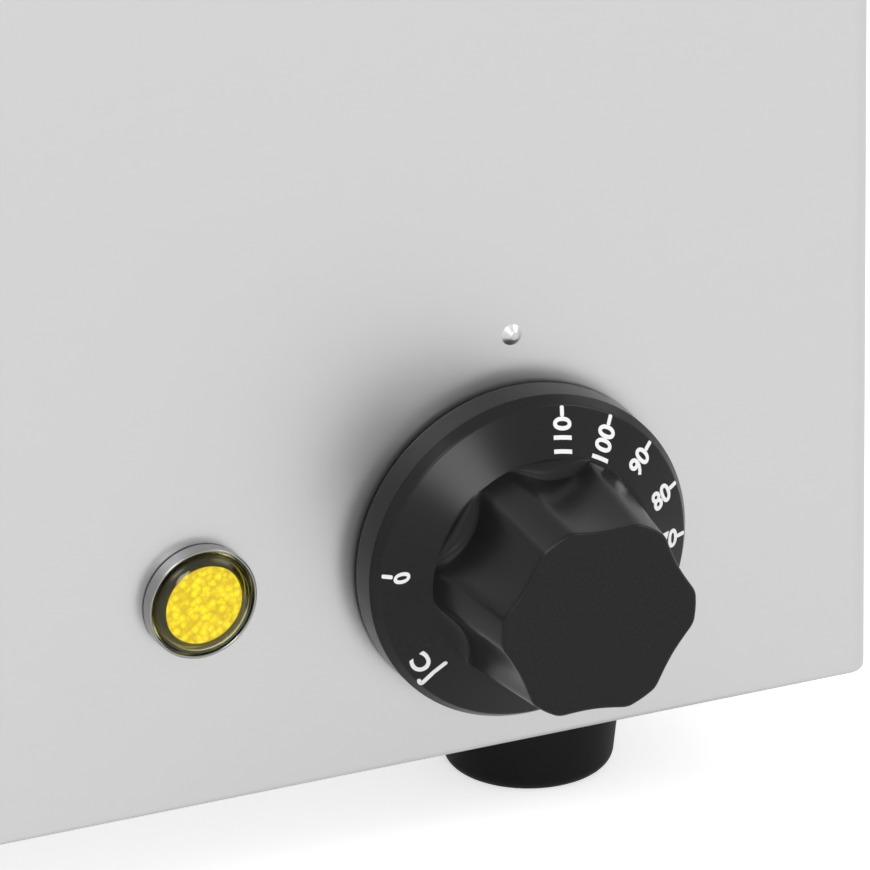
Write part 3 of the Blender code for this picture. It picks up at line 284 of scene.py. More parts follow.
def middle(low, high):
    """Point halfway between two corners of a box."""
    return [(first + last) / 2 for first, last in zip(low, high)]


# Places of the joints and of the CAD nodes
joint_at = {joint["name"]: joint.get("pos_m") for joint in frame["joints"]}
knob_x, front_y, control_z = joint_at["knob_turn"]
tap_x, tap_y, _ = joint_at["tap_turn"]
case_low, case_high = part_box("casing_wrap")
deck_low, deck_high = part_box("top_deck")
well_low, well_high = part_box("water_well")
rear_y = case_high.y
case_y = (front_y + rear_y) / 2
case_half_x = case_high.x
case_half_y = (rear_y - front_y) / 2
deck_top = deck_high.z
lamp_x, _, lamp_z = middle(*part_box("lamp_bezel"))
gland_low, gland_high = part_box("cable_gland")
gland_x, _, gland_z = middle(gland_low, gland_high)
pans = {number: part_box("pan_%d" % number) for number in (1, 2, 3)}
well_half_x = pans[3][1].x - PAN_REST
well_half_y = (pans[1][1].y - pans[1][0].y) / 2 - PAN_REST
bar_x = [middle(*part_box("pan_bar_%d" % number))[0] for number in (1, 2)]


# Shapes


def eased(corners, closed=True, steps=ARC_STEPS):
    """Outline through corners given as (a, b, radius). Each corner becomes an arc that touches both
    of its sides, with one more point a short way along each side, so that flats shade flat."""
    spots = [np.array(corner[:2], float) for corner in corners]
    points = []
    for number, (here, corner) in enumerate(zip(spots, corners)):
        at_end = number in (0, len(spots) - 1) and not closed
        if at_end or corner[2] == 0:
            points.append(here)
            continue
        into = spots[number - 1] - here
        out = spots[(number + 1) % len(spots)] - here
        room = min(np.linalg.norm(into), np.linalg.norm(out)) / 2
        into /= np.linalg.norm(into)
        out /= np.linalg.norm(out)
        half = math.acos(float(np.clip(into @ out, -1, 1))) / 2
        reach = min(corner[2] / math.tan(half), room * CORNER_ROOM_SHARE)
        radius = reach * math.tan(half)
        centre = here + (into + out) / np.linalg.norm(into + out) * radius / math.sin(half)
        start = here + into * reach - centre
        end = here + out * reach - centre
        first = math.atan2(start[1], start[0])
        sweep = (math.atan2(end[1], end[0]) - first + math.pi) % TURN - math.pi
        angle = first + sweep * np.linspace(0, 1, steps + 1)
        hold = min(HOLD, (room - reach) / 2)
        points.append(here + into * (reach + hold))
        points.extend(centre + radius * np.stack((np.cos(angle), np.sin(angle)), -1))
        points.append(here + out * (reach + hold))
    return np.array(points)


def rounded_ring(half_x, half_y, radius, z, centre=(0.0, 0.0), rear_radius=None):
    """Rectangle with arc corners at one height, counter-clockwise from the front left corner."""
    rear = radius if rear_radius is None else rear_radius
    corners = (
        (-half_x, -half_y, radius), (half_x, -half_y, radius),
        (half_x, half_y, rear), (-half_x, half_y, rear))
    return set_at(z, eased(corners) + np.array(centre), "z")


def skin(grid, loop=False):
    """Quads between each ring of the grid and the next, every ring closed on itself. The end rings
    are closed by fans to their middles, or with loop the last ring joins the first."""
    rings, sides = grid.shape[:2]
    number = np.arange(rings * sides).reshape(rings, sides)
    low = number if loop else number[:-1]
    high = np.roll(number, -1, axis=0) if loop else number[1:]
    quads = np.stack((low, np.roll(low, -1, 1), np.roll(high, -1, 1), high), axis=-1).reshape(-1, 4)
    points = grid.reshape(-1, 3)
    fans = np.zeros((0, 3), int)
    if not loop:
        points = np.vstack((points, grid[[0, -1]].mean(axis=1)))
        first, last = number[0][::-1], number[-1]
        start = np.stack((first, np.roll(first, -1), np.full(sides, rings * sides)), -1)
        end = np.stack((last, np.roll(last, -1), np.full(sides, rings * sides + 1)), -1)
        fans = np.vstack((start, end))
    return outward(points, quads, fans)


def outward(points, quads, fans):
    """Turns every face of a closed body round when its signed volume comes out negative."""
    corners = np.vstack((quads[:, [0, 1, 2]], quads[:, [0, 2, 3]], fans))
    a, b, c = (points[corners[:, column]] - points.mean(axis=0) for column in range(3))
    if np.einsum("ij,ij->", a, np.cross(b, c)) < 0:
        quads, fans = quads[:, ::-1], fans[:, ::-1]
    return points, quads, fans


def turned(profile, spot=(0.0, 0.0, 0.0), facing="up", loop=False, sides=ROUND):
    """Profile of (radius, height) carried round an axis through spot that faces up, front or rear."""
    profile = np.asarray(profile, float)
    angle = np.linspace(0, TURN, sides, endpoint=False)
    return skin(np.array(spot) + around(profile[:, :1], angle, profile[:, 1:], facing), loop)


def around(radius, angle, height, facing):
    """Points at a radius, an angle and a height about an axis that faces up, front or rear."""
    across, along, height = np.broadcast_arrays(radius * np.cos(angle), radius * np.sin(angle), height)
    if facing == "front":
        return np.stack((across, -height, along), axis=-1)
    if facing == "rear":
        return np.stack((across, height, -along), axis=-1)
    return np.stack((across, along, height), axis=-1)


def tube(path, radius, square, sides=PIN_SIDES, loop_bore=None):
    """Circle carried along a flat path, solid or with a bore. Its two directions are square, which is
    at right angles to the path's plane, and the cross product of the path's tangent with square."""
    path = np.asarray(path, float)
    tangent = np.gradient(path, axis=0)
    tangent /= np.linalg.norm(tangent, axis=1, keepdims=True)
    square = np.asarray(square, float)
    side = np.cross(tangent, square)
    angle = np.linspace(0, TURN, sides, endpoint=False)
    circle = side[:, None] * np.cos(angle)[None, :, None] + square * np.sin(angle)[None, :, None]
    outside = path[:, None] + circle * radius
    if loop_bore is None:
        return skin(outside)
    inside = path[:, None] + circle * loop_bore
    return skin(np.vstack((outside, inside[::-1])), loop=True)


def bar_between(outline, start, end, axis):
    """Closed outline of (a, b) points carried straight along X or Z from start to end."""
    outline = np.asarray(outline, float)
    return skin(np.array([set_at(place, outline, axis) for place in (start, end)]))


def set_at(place, outline, axis="x"):
    """Outline of (y, z) points set at one X, or of (x, y) points at one Z."""
    return np.insert(outline, 0 if axis == "x" else 2, place, axis=1)


def joined(shapes):
    """Several closed bodies as one set of points and faces."""
    points, quads, fans, count = [], [], [], 0
    for shape in shapes:
        points.append(shape[0])
        quads.append(shape[1] + count)
        fans.append(shape[2] + count)
        count += len(shape[0])
    return np.vstack(points), np.vstack(quads), np.vstack(fans)


def new_mesh(name, shapes):
    """Mesh of closed bodies, smooth but for edges sharper than SHARP."""
    points, quads, fans = joined(shapes)
    mesh = bpy.data.meshes.new(name)
    mesh.from_pydata(points.tolist(), [], quads.tolist() + fans.tolist())
    return smoothed(mesh)


def smoothed(mesh):
    """Checks a mesh and shades it smooth but for its sharp edges."""
    mesh.validate()
    mesh.shade_smooth()
    mesh.set_sharp_from_angle(angle=SHARP)
    return mesh


def add_object(name, data):
    """New object in the scene."""
    thing = bpy.data.objects.new(name, data)
    bpy.context.scene.collection.objects.link(thing)
    return thing


def final_mesh(thing):
    """Mesh of an object as its modifiers or its font make it."""
    bpy.context.view_layer.update()
    graph = bpy.context.evaluated_depsgraph_get()
    return bpy.data.meshes.new_from_object(thing.evaluated_get(graph))


def make_piece(name, shapes, material, body="housing", replaces=()):
    """Object of closed bodies that rides on a CAD body and stands for the nodes it replaces."""
    piece = add_object(name, new_mesh(name, shapes))
    piece.data.materials.append(material)
    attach(piece, body)
    if replaces:
        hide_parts(*replaces)
    return piece


def combine(piece, shapes, operation):
    """Cuts closed bodies from a piece, or joins them on, and keeps the result as its mesh."""
    tool = add_object(piece.name + "_tool", new_mesh(piece.name + "_tool", shapes))
    step = piece.modifiers.new(operation.lower(), "BOOLEAN")
    step.operation = operation
    step.solver = "EXACT"
    step.object = tool
    result = final_mesh(piece)
    piece.modifiers.clear()
    piece.data = smoothed(result)
    bpy.data.objects.remove(tool, do_unlink=True)


def rod(start, end, radius, sides=ROD_SIDES):
    """Straight round bar between two points, with flat ends."""
    start, end = np.array(start, float), np.array(end, float)
    square = np.array((1.0, 0.0, 0.0)) if end[2] != start[2] else np.array((0.0, 0.0, 1.0))
    return tube(np.array((start, end)), radius, square, sides)


def block(low, high):
    """Plain box, for cutting."""
    outline = ((low[0], low[1]), (high[0], low[1]), (high[0], high[1]), (low[0], high[1]))
    return bar_between(outline, low[2], high[2], "z")


# Finishes


def new_group(name, inputs, outputs):
    """Shader node group with named sockets, and its input and output nodes."""
    group = bpy.data.node_groups.new(name, "ShaderNodeTree")
    for kind, label in inputs:
        group.interface.new_socket(name=label, in_out="INPUT", socket_type=kind)
    for kind, label in outputs:
        group.interface.new_socket(name=label, in_out="OUTPUT", socket_type=kind)
    return group, group.nodes.new("NodeGroupInput"), group.nodes.new("NodeGroupOutput")


def feed(tree, socket, source):
    """Sets a socket to a number, or links it to another socket."""
    if isinstance(source, float):
        socket.default_value = source
    else:
        tree.links.new(source, socket)


def map_share(tree, share, low, high):
    """Value between two limits for a share from 0 to 1."""
    spread = tree.nodes.new("ShaderNodeMapRange")
    for label, source in (("Value", share), ("To Min", low), ("To Max", high)):
        feed(tree, spread.inputs[label], source)
    return spread.outputs["Result"]


def calculate(tree, operation, *sources):
    """Result of a maths node."""
    step = tree.nodes.new("ShaderNodeMath")
    step.operation = operation
    for socket, source in zip(step.inputs, sources):
        feed(tree, socket, source)
    return step.outputs["Value"]


def noise(tree, vector, scale, detail):
    """Noise from 0 to 1."""
    texture = tree.nodes.new("ShaderNodeTexNoise")
    for label, source in (("Vector", vector), ("Scale", scale), ("Detail", detail)):
        feed(tree, texture.inputs[label], source)
    return texture.outputs["Fac"]


GRAIN_DETAIL = 4.0
MOTTLE_DETAIL = 2.0
GRAIN_SHARE = 0.5


def make_grain_group():
    """Fine stretched grain over broad mottling: colour, roughness and height that change over the piece."""
    group, start, end = new_group("finish_grain", (
        ("NodeSocketVector", "Vector"), ("NodeSocketVector", "Stretch"), ("NodeSocketFloat", "Fineness"),
        ("NodeSocketFloat", "Mottle"), ("NodeSocketColor", "Deep"), ("NodeSocketColor", "Pale"),
        ("NodeSocketFloat", "Smooth"), ("NodeSocketFloat", "Rough")), (
        ("NodeSocketColor", "Color"), ("NodeSocketFloat", "Roughness"), ("NodeSocketFloat", "Height")))
    given, links = start.outputs, group.links
    stretch = group.nodes.new("ShaderNodeVectorMath")
    stretch.operation = "MULTIPLY"
    links.new(given["Vector"], stretch.inputs[0])
    links.new(given["Stretch"], stretch.inputs[1])
    grain = noise(group, stretch.outputs["Vector"], given["Fineness"], GRAIN_DETAIL)
    mottle = noise(group, given["Vector"], given["Mottle"], MOTTLE_DETAIL)
    rest = calculate(group, "MULTIPLY", mottle, 1 - GRAIN_SHARE)
    both = calculate(group, "MULTIPLY_ADD", grain, GRAIN_SHARE, rest)
    colour = group.nodes.new("ShaderNodeMix")
    colour.data_type = "RGBA"
    for label, source in (("Factor", both), ("A", given["Deep"]), ("B", given["Pale"])):
        links.new(source, colour.inputs[label])
    links.new(colour.outputs["Result"], end.inputs["Color"])
    links.new(map_share(group, both, given["Smooth"], given["Rough"]), end.inputs["Roughness"])
    links.new(grain, end.inputs["Height"])
    return group


grain_group = make_grain_group()


RELIEF_DEPTH = 0.0001


def finished(name, deep, pale, smooth, rough, fineness, mottle, bump, metallic=0.0, stretch=(1, 1, 1),
             depth=RELIEF_DEPTH, **fixed):
    """Material whose colour, roughness and relief come from the grain group. The other sockets are set
    to fixed values, each named by its socket."""
    material = bpy.data.materials.new(name)
    material.use_nodes = True
    nodes, links = material.node_tree.nodes, material.node_tree.links
    shader = nodes["Principled BSDF"]
    place = nodes.new("ShaderNodeTexCoord")
    grain = nodes.new("ShaderNodeGroup")
    grain.node_tree = grain_group
    links.new(place.outputs["Object"], grain.inputs["Vector"])
    for label, value in (
            ("Stretch", stretch), ("Fineness", fineness), ("Mottle", mottle), ("Deep", (*deep, 1.0)),
            ("Pale", (*pale, 1.0)), ("Smooth", smooth), ("Rough", rough)):
        grain.inputs[label].default_value = value
    links.new(grain.outputs["Color"], shader.inputs["Base Color"])
    links.new(grain.outputs["Roughness"], shader.inputs["Roughness"])
    relief = nodes.new("ShaderNodeBump")
    relief.inputs["Strength"].default_value = bump
    relief.inputs["Distance"].default_value = depth
    links.new(grain.outputs["Height"], relief.inputs["Height"])
    links.new(relief.outputs["Normal"], shader.inputs["Normal"])
    shader.inputs["Metallic"].default_value = metallic
    for socket, value in fixed.items():
        shader.inputs[socket.replace("_", " ")].default_value = value
    return material


def grey(level):
    """Colour with three equal shares."""
    return (level, level, level)


case_steel = finished(
    "case_steel", deep=grey(0.598), pale=grey(0.614), smooth=0.33, rough=0.37, metallic=1.0,
    stretch=(6, 6, 60), fineness=14.0, mottle=5.0, bump=0.012)
deck_steel = finished(
    "deck_steel", deep=grey(0.57), pale=grey(0.64), smooth=0.27, rough=0.36, metallic=1.0,
    stretch=(4, 60, 60), fineness=14.0, mottle=6.0, bump=0.06)
pan_steel = finished(
    "pan_steel", deep=grey(0.56), pale=grey(0.64), smooth=0.20, rough=0.30, metallic=1.0,
    stretch=(40, 40, 6), fineness=14.0, mottle=9.0, bump=0.05)
lid_steel = finished(
    "lid_steel", deep=grey(0.60), pale=grey(0.67), smooth=0.16, rough=0.24, metallic=1.0,
    stretch=(4, 60, 60), fineness=14.0, mottle=9.0, bump=0.04)
polished_steel = finished(
    "polished_steel", deep=grey(0.66), pale=grey(0.72), smooth=0.08, rough=0.16, metallic=1.0,
    fineness=700.0, mottle=30.0, bump=0.03)
chrome = finished(
    "lamp_chrome", deep=grey(0.24), pale=grey(0.34), smooth=0.16, rough=0.24, metallic=1.0,
    fineness=900.0, mottle=60.0, bump=0.02)
nickel = finished(
    "nickel_plate", deep=(0.60, 0.585, 0.55), pale=(0.69, 0.68, 0.65), smooth=0.14, rough=0.26, metallic=1.0,
    fineness=500.0, mottle=60.0, bump=0.06)
knob_black = finished(
    "knob_black", deep=grey(0.0058), pale=grey(0.0080), smooth=0.22, rough=0.27,
    fineness=2600.0, mottle=60.0, bump=0.08, depth=0.00005, Specular_IOR_Level=0.22)
fitting_black = finished(
    "fitting_black", deep=grey(0.010), pale=grey(0.016), smooth=0.42, rough=0.52,
    fineness=2400.0, mottle=60.0, bump=0.15, depth=0.00005, Specular_IOR_Level=0.4)
foot_rubber = finished(
    "foot_rubber", deep=grey(0.003), pale=grey(0.006), smooth=0.45, rough=0.58,
    fineness=1800.0, mottle=80.0, bump=0.25, depth=0.00008, Specular_IOR_Level=0.15)
pale_ceramic = finished(
    "pale_ceramic", deep=(0.68, 0.66, 0.60), pale=(0.78, 0.76, 0.71), smooth=0.42, rough=0.60,
    fineness=1500.0, mottle=90.0, bump=0.12)
dial_white = finished(
    "dial_white", deep=grey(0.80), pale=grey(0.90), smooth=0.40, rough=0.55,
    fineness=3000.0, mottle=300.0, bump=0.10, depth=0.00002)
lamp_dark = finished(
    "lamp_dark", deep=(0.006, 0.004, 0.001), pale=(0.012, 0.008, 0.002), smooth=0.45, rough=0.60,
    fineness=1500.0, mottle=200.0, bump=0.05)
lens_amber = finished(
    "lens_amber", deep=(1.0, 0.93, 0.36), pale=(1.0, 0.95, 0.46), smooth=0.03, rough=0.06,
    fineness=400.0, mottle=150.0, bump=0.02, Transmission_Weight=1.0, IOR=1.33)

FACET_SCATTER = 0.85
# Painted shade on the lit disc: glow colours from each facet's bright middle to its darker edge
FACET_PAINTED_SHADE_TONES = ((0.15, (1.0, 0.87, 0.0, 1.0)), (0.72, (0.60, 0.45, 0.0, 1.0)))


def make_lamp_glow():
    """Lit prism disc: its glow is painted yellow, bright in the middle of each facet and deep at its edges, a
    painted shade across the prisms.
    """
    material = finished(
        "lamp_glow", deep=(0.10, 0.07, 0.0), pale=(0.16, 0.12, 0.0), smooth=0.35, rough=0.50,
        fineness=900.0, mottle=200.0, bump=0.05, Emission_Strength=1.0)
    nodes, links = material.node_tree.nodes, material.node_tree.links
    turn = nodes.new("ShaderNodeMapping")
    turn.inputs["Rotation"].default_value = (0.0, PRISM_TURN, 0.0)
    links.new(nodes["Texture Coordinate"].outputs["Object"], turn.inputs["Vector"])
    facets = nodes.new("ShaderNodeTexVoronoi")
    facets.inputs["Scale"].default_value = 1 / PRISM_PITCH
    facets.inputs["Randomness"].default_value = FACET_SCATTER
    links.new(turn.outputs["Vector"], facets.inputs["Vector"])
    ramp = nodes.new("ShaderNodeValToRGB")
    for stop, (position, tone) in zip(ramp.color_ramp.elements, FACET_PAINTED_SHADE_TONES):
        stop.color = tone
        stop.position = position
    links.new(facets.outputs["Distance"], ramp.inputs["Fac"])
    links.new(ramp.outputs["Color"], nodes["Principled BSDF"].inputs["Emission Color"])
    return material


lamp_glow = make_lamp_glow()


def finish_nodes():
    """Materials of the CAD nodes that show as they are."""
    finishes = {
        deck_steel: (
            "base_plate", "pan_bar_1", "pan_bar_2", "element_clamp_1", "element_clamp_2", "lamp_clip"),
        polished_steel: (
            *("foot_screw_" + place for place in FOOT_PLACES),
            *("clamp_nut_%d" % nut for nut in (1, 2, 3, 4)),
            "thermostat_screw_left", "thermostat_screw_right", "heating_element", "control_shaft",
            "drain_pipe"),
        nickel: ("sensor_bulb", "tap_ball", "tap_lock_nut"),
        fitting_black: ("lamp_body", "gland_nut"),
        pale_ceramic: ("terminal_block", "thermostat_body"),
    }
    for material, names in finishes.items():
        for name in names:
            mesh = frame["nodes"][name].data
            mesh.materials.clear()
            mesh.materials.append(material)


# Casing, deck, well and pans


def make_casing():
    """Folded wrap: a closed section of wall and two return folds, carried round the rounded plan."""
    low, high = case_low.z, case_high.z
    section = eased((
        (0.0, low, FOLD_BEND), (0.0, high, FOLD_BEND), (CASE_FOLD, high, 0.0), (CASE_FOLD, high - SHEET, 0.0),
        (SHEET, high - SHEET, GAP), (SHEET, low + SHEET, GAP), (CASE_FOLD, low + SHEET, 0.0),
        (CASE_FOLD, low, 0.0)), steps=6)
    rings = []
    for inset, z in section:
        corner = max(CASE_BEND - inset, SHEET)
        rings.append(rounded_ring(case_half_x - inset, case_half_y - inset, corner, z, (0.0, case_y)))
    piece = make_piece("casing", [skin(np.array(rings), loop=True)], case_steel, replaces=("casing_wrap",))
    holes = [rod((x, y - OVERRUN, z), (x, y + OVERRUN, z), radius) for x, y, z, radius in (
        (knob_x, front_y, control_z, SHAFT_HOLE_RADIUS), (lamp_x, front_y, lamp_z, LAMP_HOLE_RADIUS),
        (tap_x, front_y, control_z, THREAD_RADIUS), (gland_x, rear_y, gland_z, THREAD_RADIUS),
        (knob_x - SCREW_FROM_KNOB, front_y, control_z, SCREW_HOLE_RADIUS),
        (knob_x + SCREW_FROM_KNOB, front_y, control_z, SCREW_HOLE_RADIUS))]
    combine(piece, holes, "DIFFERENCE")
    combine(piece, [pip_shape()], "UNION")


def pip_shape():
    """Pressed pip: half a cosine wave of height over radius, flat on top and cut off at its foot."""
    share = np.linspace(0, 1, PIP_STEPS)
    wave = PIP_CROWN_SHARE * (0.5 + 0.5 * np.cos(math.pi * share)) - PIP_FOOT_SHARE
    rise = PIP_RISE * np.clip(wave, 0, 1) - PIP_SINK * share
    radius = PIP_RADIUS * (share + PIP_POLE_SHARE)
    profile = np.vstack(((radius[-1], -SHEET / 2), np.column_stack((radius, rise))[::-1]))
    return turned(profile, (knob_x, front_y, control_z + PIP_ABOVE_KNOB), "front", sides=ROD_SIDES)


def make_deck():
    """Top sheet: a closed section from the well's opening over the top and down the apron."""
    half_x, half_y = deck_high.x, (deck_high.y - deck_low.y) / 2
    reach = half_x - well_half_x
    under = deck_top - SHEET
    section = eased((
        (0.0, under, 0.0), (0.0, deck_top, GAP), (reach, deck_top, APRON_BEND), (reach, deck_low.z, 0.0),
        (reach - SHEET, deck_low.z, 0.0), (reach - SHEET, under, APRON_BEND - SHEET)), steps=8)
    spread = (half_y - well_half_y) / reach
    corner = CASE_BEND + SHEET + GAP
    rings = []
    for out, z in section:
        if out < reach - 2 * APRON_BEND:
            share = out / (reach - 2 * APRON_BEND)
            radius = WELL_CORNER + (corner - WELL_CORNER) * share
            half = (well_half_x + out, well_half_y + out * spread)
        else:
            radius = max(corner - (reach - out), SHEET)
            half = (half_x - (reach - out), half_y - (reach - out))
        rings.append(rounded_ring(*half, radius, z, (0.0, case_y)))
    piece = make_piece("deck", [skin(np.array(rings), loop=True)], deck_steel, replaces=("top_deck",))
    notches = []
    for x in bar_x:
        for side in (-1, 1):
            edge = case_y + side * well_half_y
            ends = sorted((edge - side * SHEET, edge + side * (BAR_TONGUE + GAP)))
            half = BAR_WIDTH / 2 + GAP
            notches.append(block((x - half, ends[0], under - SHEET), (x + half, ends[1], deck_top + SHEET)))
    combine(piece, notches, "DIFFERENCE")


def cup_section(depth, taper, fillet, top):
    """Section of a tray from the middle of its floor to its top: flat, arc, leaning wall."""
    floor = top - depth
    return eased(((CUP_FLOOR_INSET, floor, 0.0), (taper, floor, fillet), (0.0, top, 0.0)), closed=False)


def make_well():
    """Drawn water well: inner cup, flange and outer cup as one closed section, with studs and a drain."""
    top, floor = well_high.z, well_low.z + STUD_LENGTH
    depth = top - floor - SHEET
    flange_x, flange_y = well_high.x, (well_high.y - well_low.y) / 2
    rings = []
    for inset, z in cup_section(depth, WELL_TAPER, WELL_FILLET, top):
        rings.append(rounded_ring(
            well_half_x - inset, well_half_y - inset, max(WELL_CORNER - inset, CUP_LEAST_CORNER), z,
            (0.0, case_y)))
    for z in (top, top - SHEET):
        rings.append(rounded_ring(flange_x, flange_y, CASE_BEND, z, (0.0, case_y)))
    for inset, z in cup_section(depth, WELL_TAPER, WELL_FILLET + SHEET, top - SHEET)[::-1]:
        rings.append(rounded_ring(
            well_half_x + SHEET - inset, well_half_y + SHEET - inset,
            max(WELL_CORNER + SHEET - inset, CUP_LEAST_CORNER), z, (0.0, case_y)))
    piece = make_piece("well", [skin(np.array(rings))], pan_steel, replaces=("water_well",))
    studs = [
        rod((x, case_y + y, well_low.z), (x, case_y + y, floor + SHEET / 2), STUD_RADIUS, PIN_SIDES)
        for x in (-STUD_X, STUD_X) for y in (-STUD_Y, STUD_Y)]
    combine(piece, studs, "UNION")
    y = front_y + DRAIN_FROM_FRONT
    drain = rod((tap_x, y, floor - OVERRUN), (tap_x, y, floor + DRAIN_OVERRUN), DRAIN_BORE)
    combine(piece, [drain], "DIFFERENCE")


def make_pan(number):
    """Drawn pan: inner cup, rolled rim with a downturned lip, and outer cup as one closed section."""
    low, high = pans[number]
    centre = middle(low, high)[:2]
    half_x, half_y = (high.x - low.x) / 2, (high.y - low.y) / 2
    rim = eased((
        (PAN_FLANGE + PAN_TAPER, high.z - PAN_DEPTH, 0.0), (PAN_FLANGE, high.z, PAN_MOUTH_BEND),
        (0.0, high.z, PAN_RIM_BEND), (0.0, high.z - PAN_LIP, 0.0), (SHEET, high.z - PAN_LIP, 0.0),
        (SHEET, high.z - SHEET, PAN_RIM_BEND / 2), (PAN_FLANGE - SHEET, high.z - SHEET, PAN_MOUTH_BEND / 2),
        (PAN_FLANGE + PAN_TAPER - SHEET, low.z, 0.0)), closed=False, steps=6)[1:-1]
    fillet = PAN_DEPTH * PAN_FILLET_SHARE
    inner = cup_section(PAN_DEPTH, PAN_TAPER, fillet, high.z)[:-1]
    inner += np.array((PAN_FLANGE, 0.0))
    outer = cup_section(PAN_DEPTH, PAN_TAPER, fillet + SHEET, high.z - SHEET)[:-1]
    outer += np.array((PAN_FLANGE - SHEET, 0.0))
    rings = []
    for inset, z in np.vstack((inner, rim, outer[::-1])):
        share = min(inset / PAN_FLANGE, 1.0)
        radius = PAN_OUTER_CORNER + (PAN_CORNER - PAN_OUTER_CORNER) * share
        radius = max(radius - max(inset - PAN_FLANGE, 0.0), CUP_LEAST_CORNER)
        rings.append(rounded_ring(half_x - inset, half_y - inset, radius, z, centre))
    make_piece("food_pan_%d" % number, [skin(np.array(rings))], pan_steel, "pan_%d" % number,
               replaces=("pan_%d" % number,))


# Lids


def leaf_shape(x, hinge_y, side, length, top):
    """Pressed leaf: a closed section of border, skirt and raised panel, carried round the leaf's plan."""
    half_x = pans[2][1].x - LID_SIDE_GAP
    centre = (x, hinge_y + side * (LID_SEAM / 2 + length / 2))
    under = top - SHEET
    slope_end = LID_PANEL_INSET + LID_PANEL_SLOPE
    flat_end = slope_end + LID_PANEL_FLAT
    section = eased((
        (flat_end, under + LID_PANEL_RISE, 0.0), (slope_end, under + LID_PANEL_RISE, LID_PANEL_BEND),
        (LID_PANEL_INSET, under, LID_PANEL_BEND), (LID_SKIRT_INSET + SHEET, under, GAP),
        (LID_SKIRT_INSET + SHEET, under - LID_SKIRT, 0.0), (LID_SKIRT_INSET, under - LID_SKIRT, 0.0),
        (LID_SKIRT_INSET, under, GAP), (0.0, under, GAP), (0.0, top, GAP),
        (LID_PANEL_INSET, top, LID_PANEL_BEND),
        (slope_end, top + LID_PANEL_RISE, LID_PANEL_BEND), (flat_end, top + LID_PANEL_RISE, 0.0)),
        closed=False, steps=5)
    rings = []
    for inset, z in section:
        if inset < LID_SKIRT_INSET - GAP:
            round_corner, seam_corner = LID_CORNER, LID_SEAM_CORNER
        else:
            skirt_corner = PAN_CORNER - LID_SKIRT_GAP - (inset - LID_SKIRT_INSET)
            round_corner, seam_corner = max(skirt_corner, LID_INNER_CORNER), LID_SEAM_SKIRT_CORNER
        front, rear = (seam_corner, round_corner) if side > 0 else (round_corner, seam_corner)
        rings.append(rounded_ring(half_x - inset, length / 2 - inset, front, z, centre, rear))
    return skin(np.array(rings))


def knuckle_shape(x, hinge_y, hinge_z, side, plate):
    """Rolled knuckle: round for three quarters about the pin and square down to its leaf, with a bore."""
    sweep = np.linspace(0, 3 * QUARTER, KNUCKLE_STEPS)
    outline = np.vstack((
        KNUCKLE_RADIUS * np.column_stack((np.cos(sweep), np.sin(sweep))),
        ((LID_SEAM / 2 + GAP, plate), (KNUCKLE_RADIUS, plate))))
    turn = np.arctan2(outline[:, 1], outline[:, 0])
    bore = (PIN_RADIUS + GAP / 2) * np.column_stack((np.cos(turn), np.sin(turn)))
    half = KNUCKLE_LENGTH / 2 - GAP / 2
    rows = [
        set_at(x + end, (hinge_y, hinge_z) + loop * (side, 1))
        for end, loop in ((-half, outline), (half, outline), (half, bore), (-half, bore))]
    return skin(np.array(rows), loop=True)


def stop_shape(x, hinge_y, hinge_z):
    """Stop tab on a front knuckle, which meets the rear leaf when the lid is fully open."""
    drop = KNUCKLE_RADIUS + KNUCKLE_LIFT - GAP
    angle = LID_OPEN_ANGLE - math.asin(drop / STOP_REACH)
    along = np.array((math.cos(angle), math.sin(angle)))
    across = np.array((-along[1], along[0])) * STOP_THICKNESS
    root = along * (KNUCKLE_RADIUS - SHEET / 2)
    tip = along * STOP_REACH
    outline = np.array((root, tip, tip + across, root + across)) + np.array((hinge_y, hinge_z))
    return bar_between(outline, x - KNUCKLE_LENGTH / 4, x + KNUCKLE_LENGTH / 4, "x")


def make_lid(number):
    """Two pressed leaves on one pin, with a bent handle on the front leaf."""
    x, hinge_y, hinge_z = joint_at["lid_open_%d" % number]
    top = hinge_z - KNUCKLE_RADIUS - KNUCKLE_LIFT
    plate = top - hinge_z - SHEET / 2
    for word, side, body in (("rear", 1, "lid_%d"), ("front", -1, "flap_%d")):
        node = "lid_%s_%d" % (word, number)
        low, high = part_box(node)
        far = high.y if side > 0 else low.y
        length = abs(far - hinge_y) - LID_SEAM / 2
        shapes = [leaf_shape(x, hinge_y, side, length, top)]
        for spot in range(0 if side > 0 else 1, KNUCKLE_COUNT, 2):
            place = x + (spot - (KNUCKLE_COUNT - 1) / 2) * KNUCKLE_LENGTH
            shapes.append(knuckle_shape(place, hinge_y, hinge_z, side, plate))
            if side < 0:
                shapes.append(stop_shape(place, hinge_y, hinge_z))
        make_piece("leaf_%s_%d" % (word, number), shapes, lid_steel, body % number, replaces=(node,))
    half = KNUCKLE_COUNT * KNUCKLE_LENGTH / 2 + GAP
    profile = eased((
        (POLE_RADIUS, -half, 0.0), (PIN_RADIUS, -half, GAP), (PIN_RADIUS, half, GAP),
        (POLE_RADIUS, half, 0.0)),
        closed=False, steps=4)
    upright, quads, fans = turned(profile, sides=PIN_SIDES)
    points = upright[:, [2, 0, 1]] + np.array((x, hinge_y, hinge_z))
    make_piece("hinge_pin_%d" % number, [(points, quads, fans)], polished_steel, "lid_%d" % number,
               ("lid_pin_%d" % number,))
    make_handle(number, x)


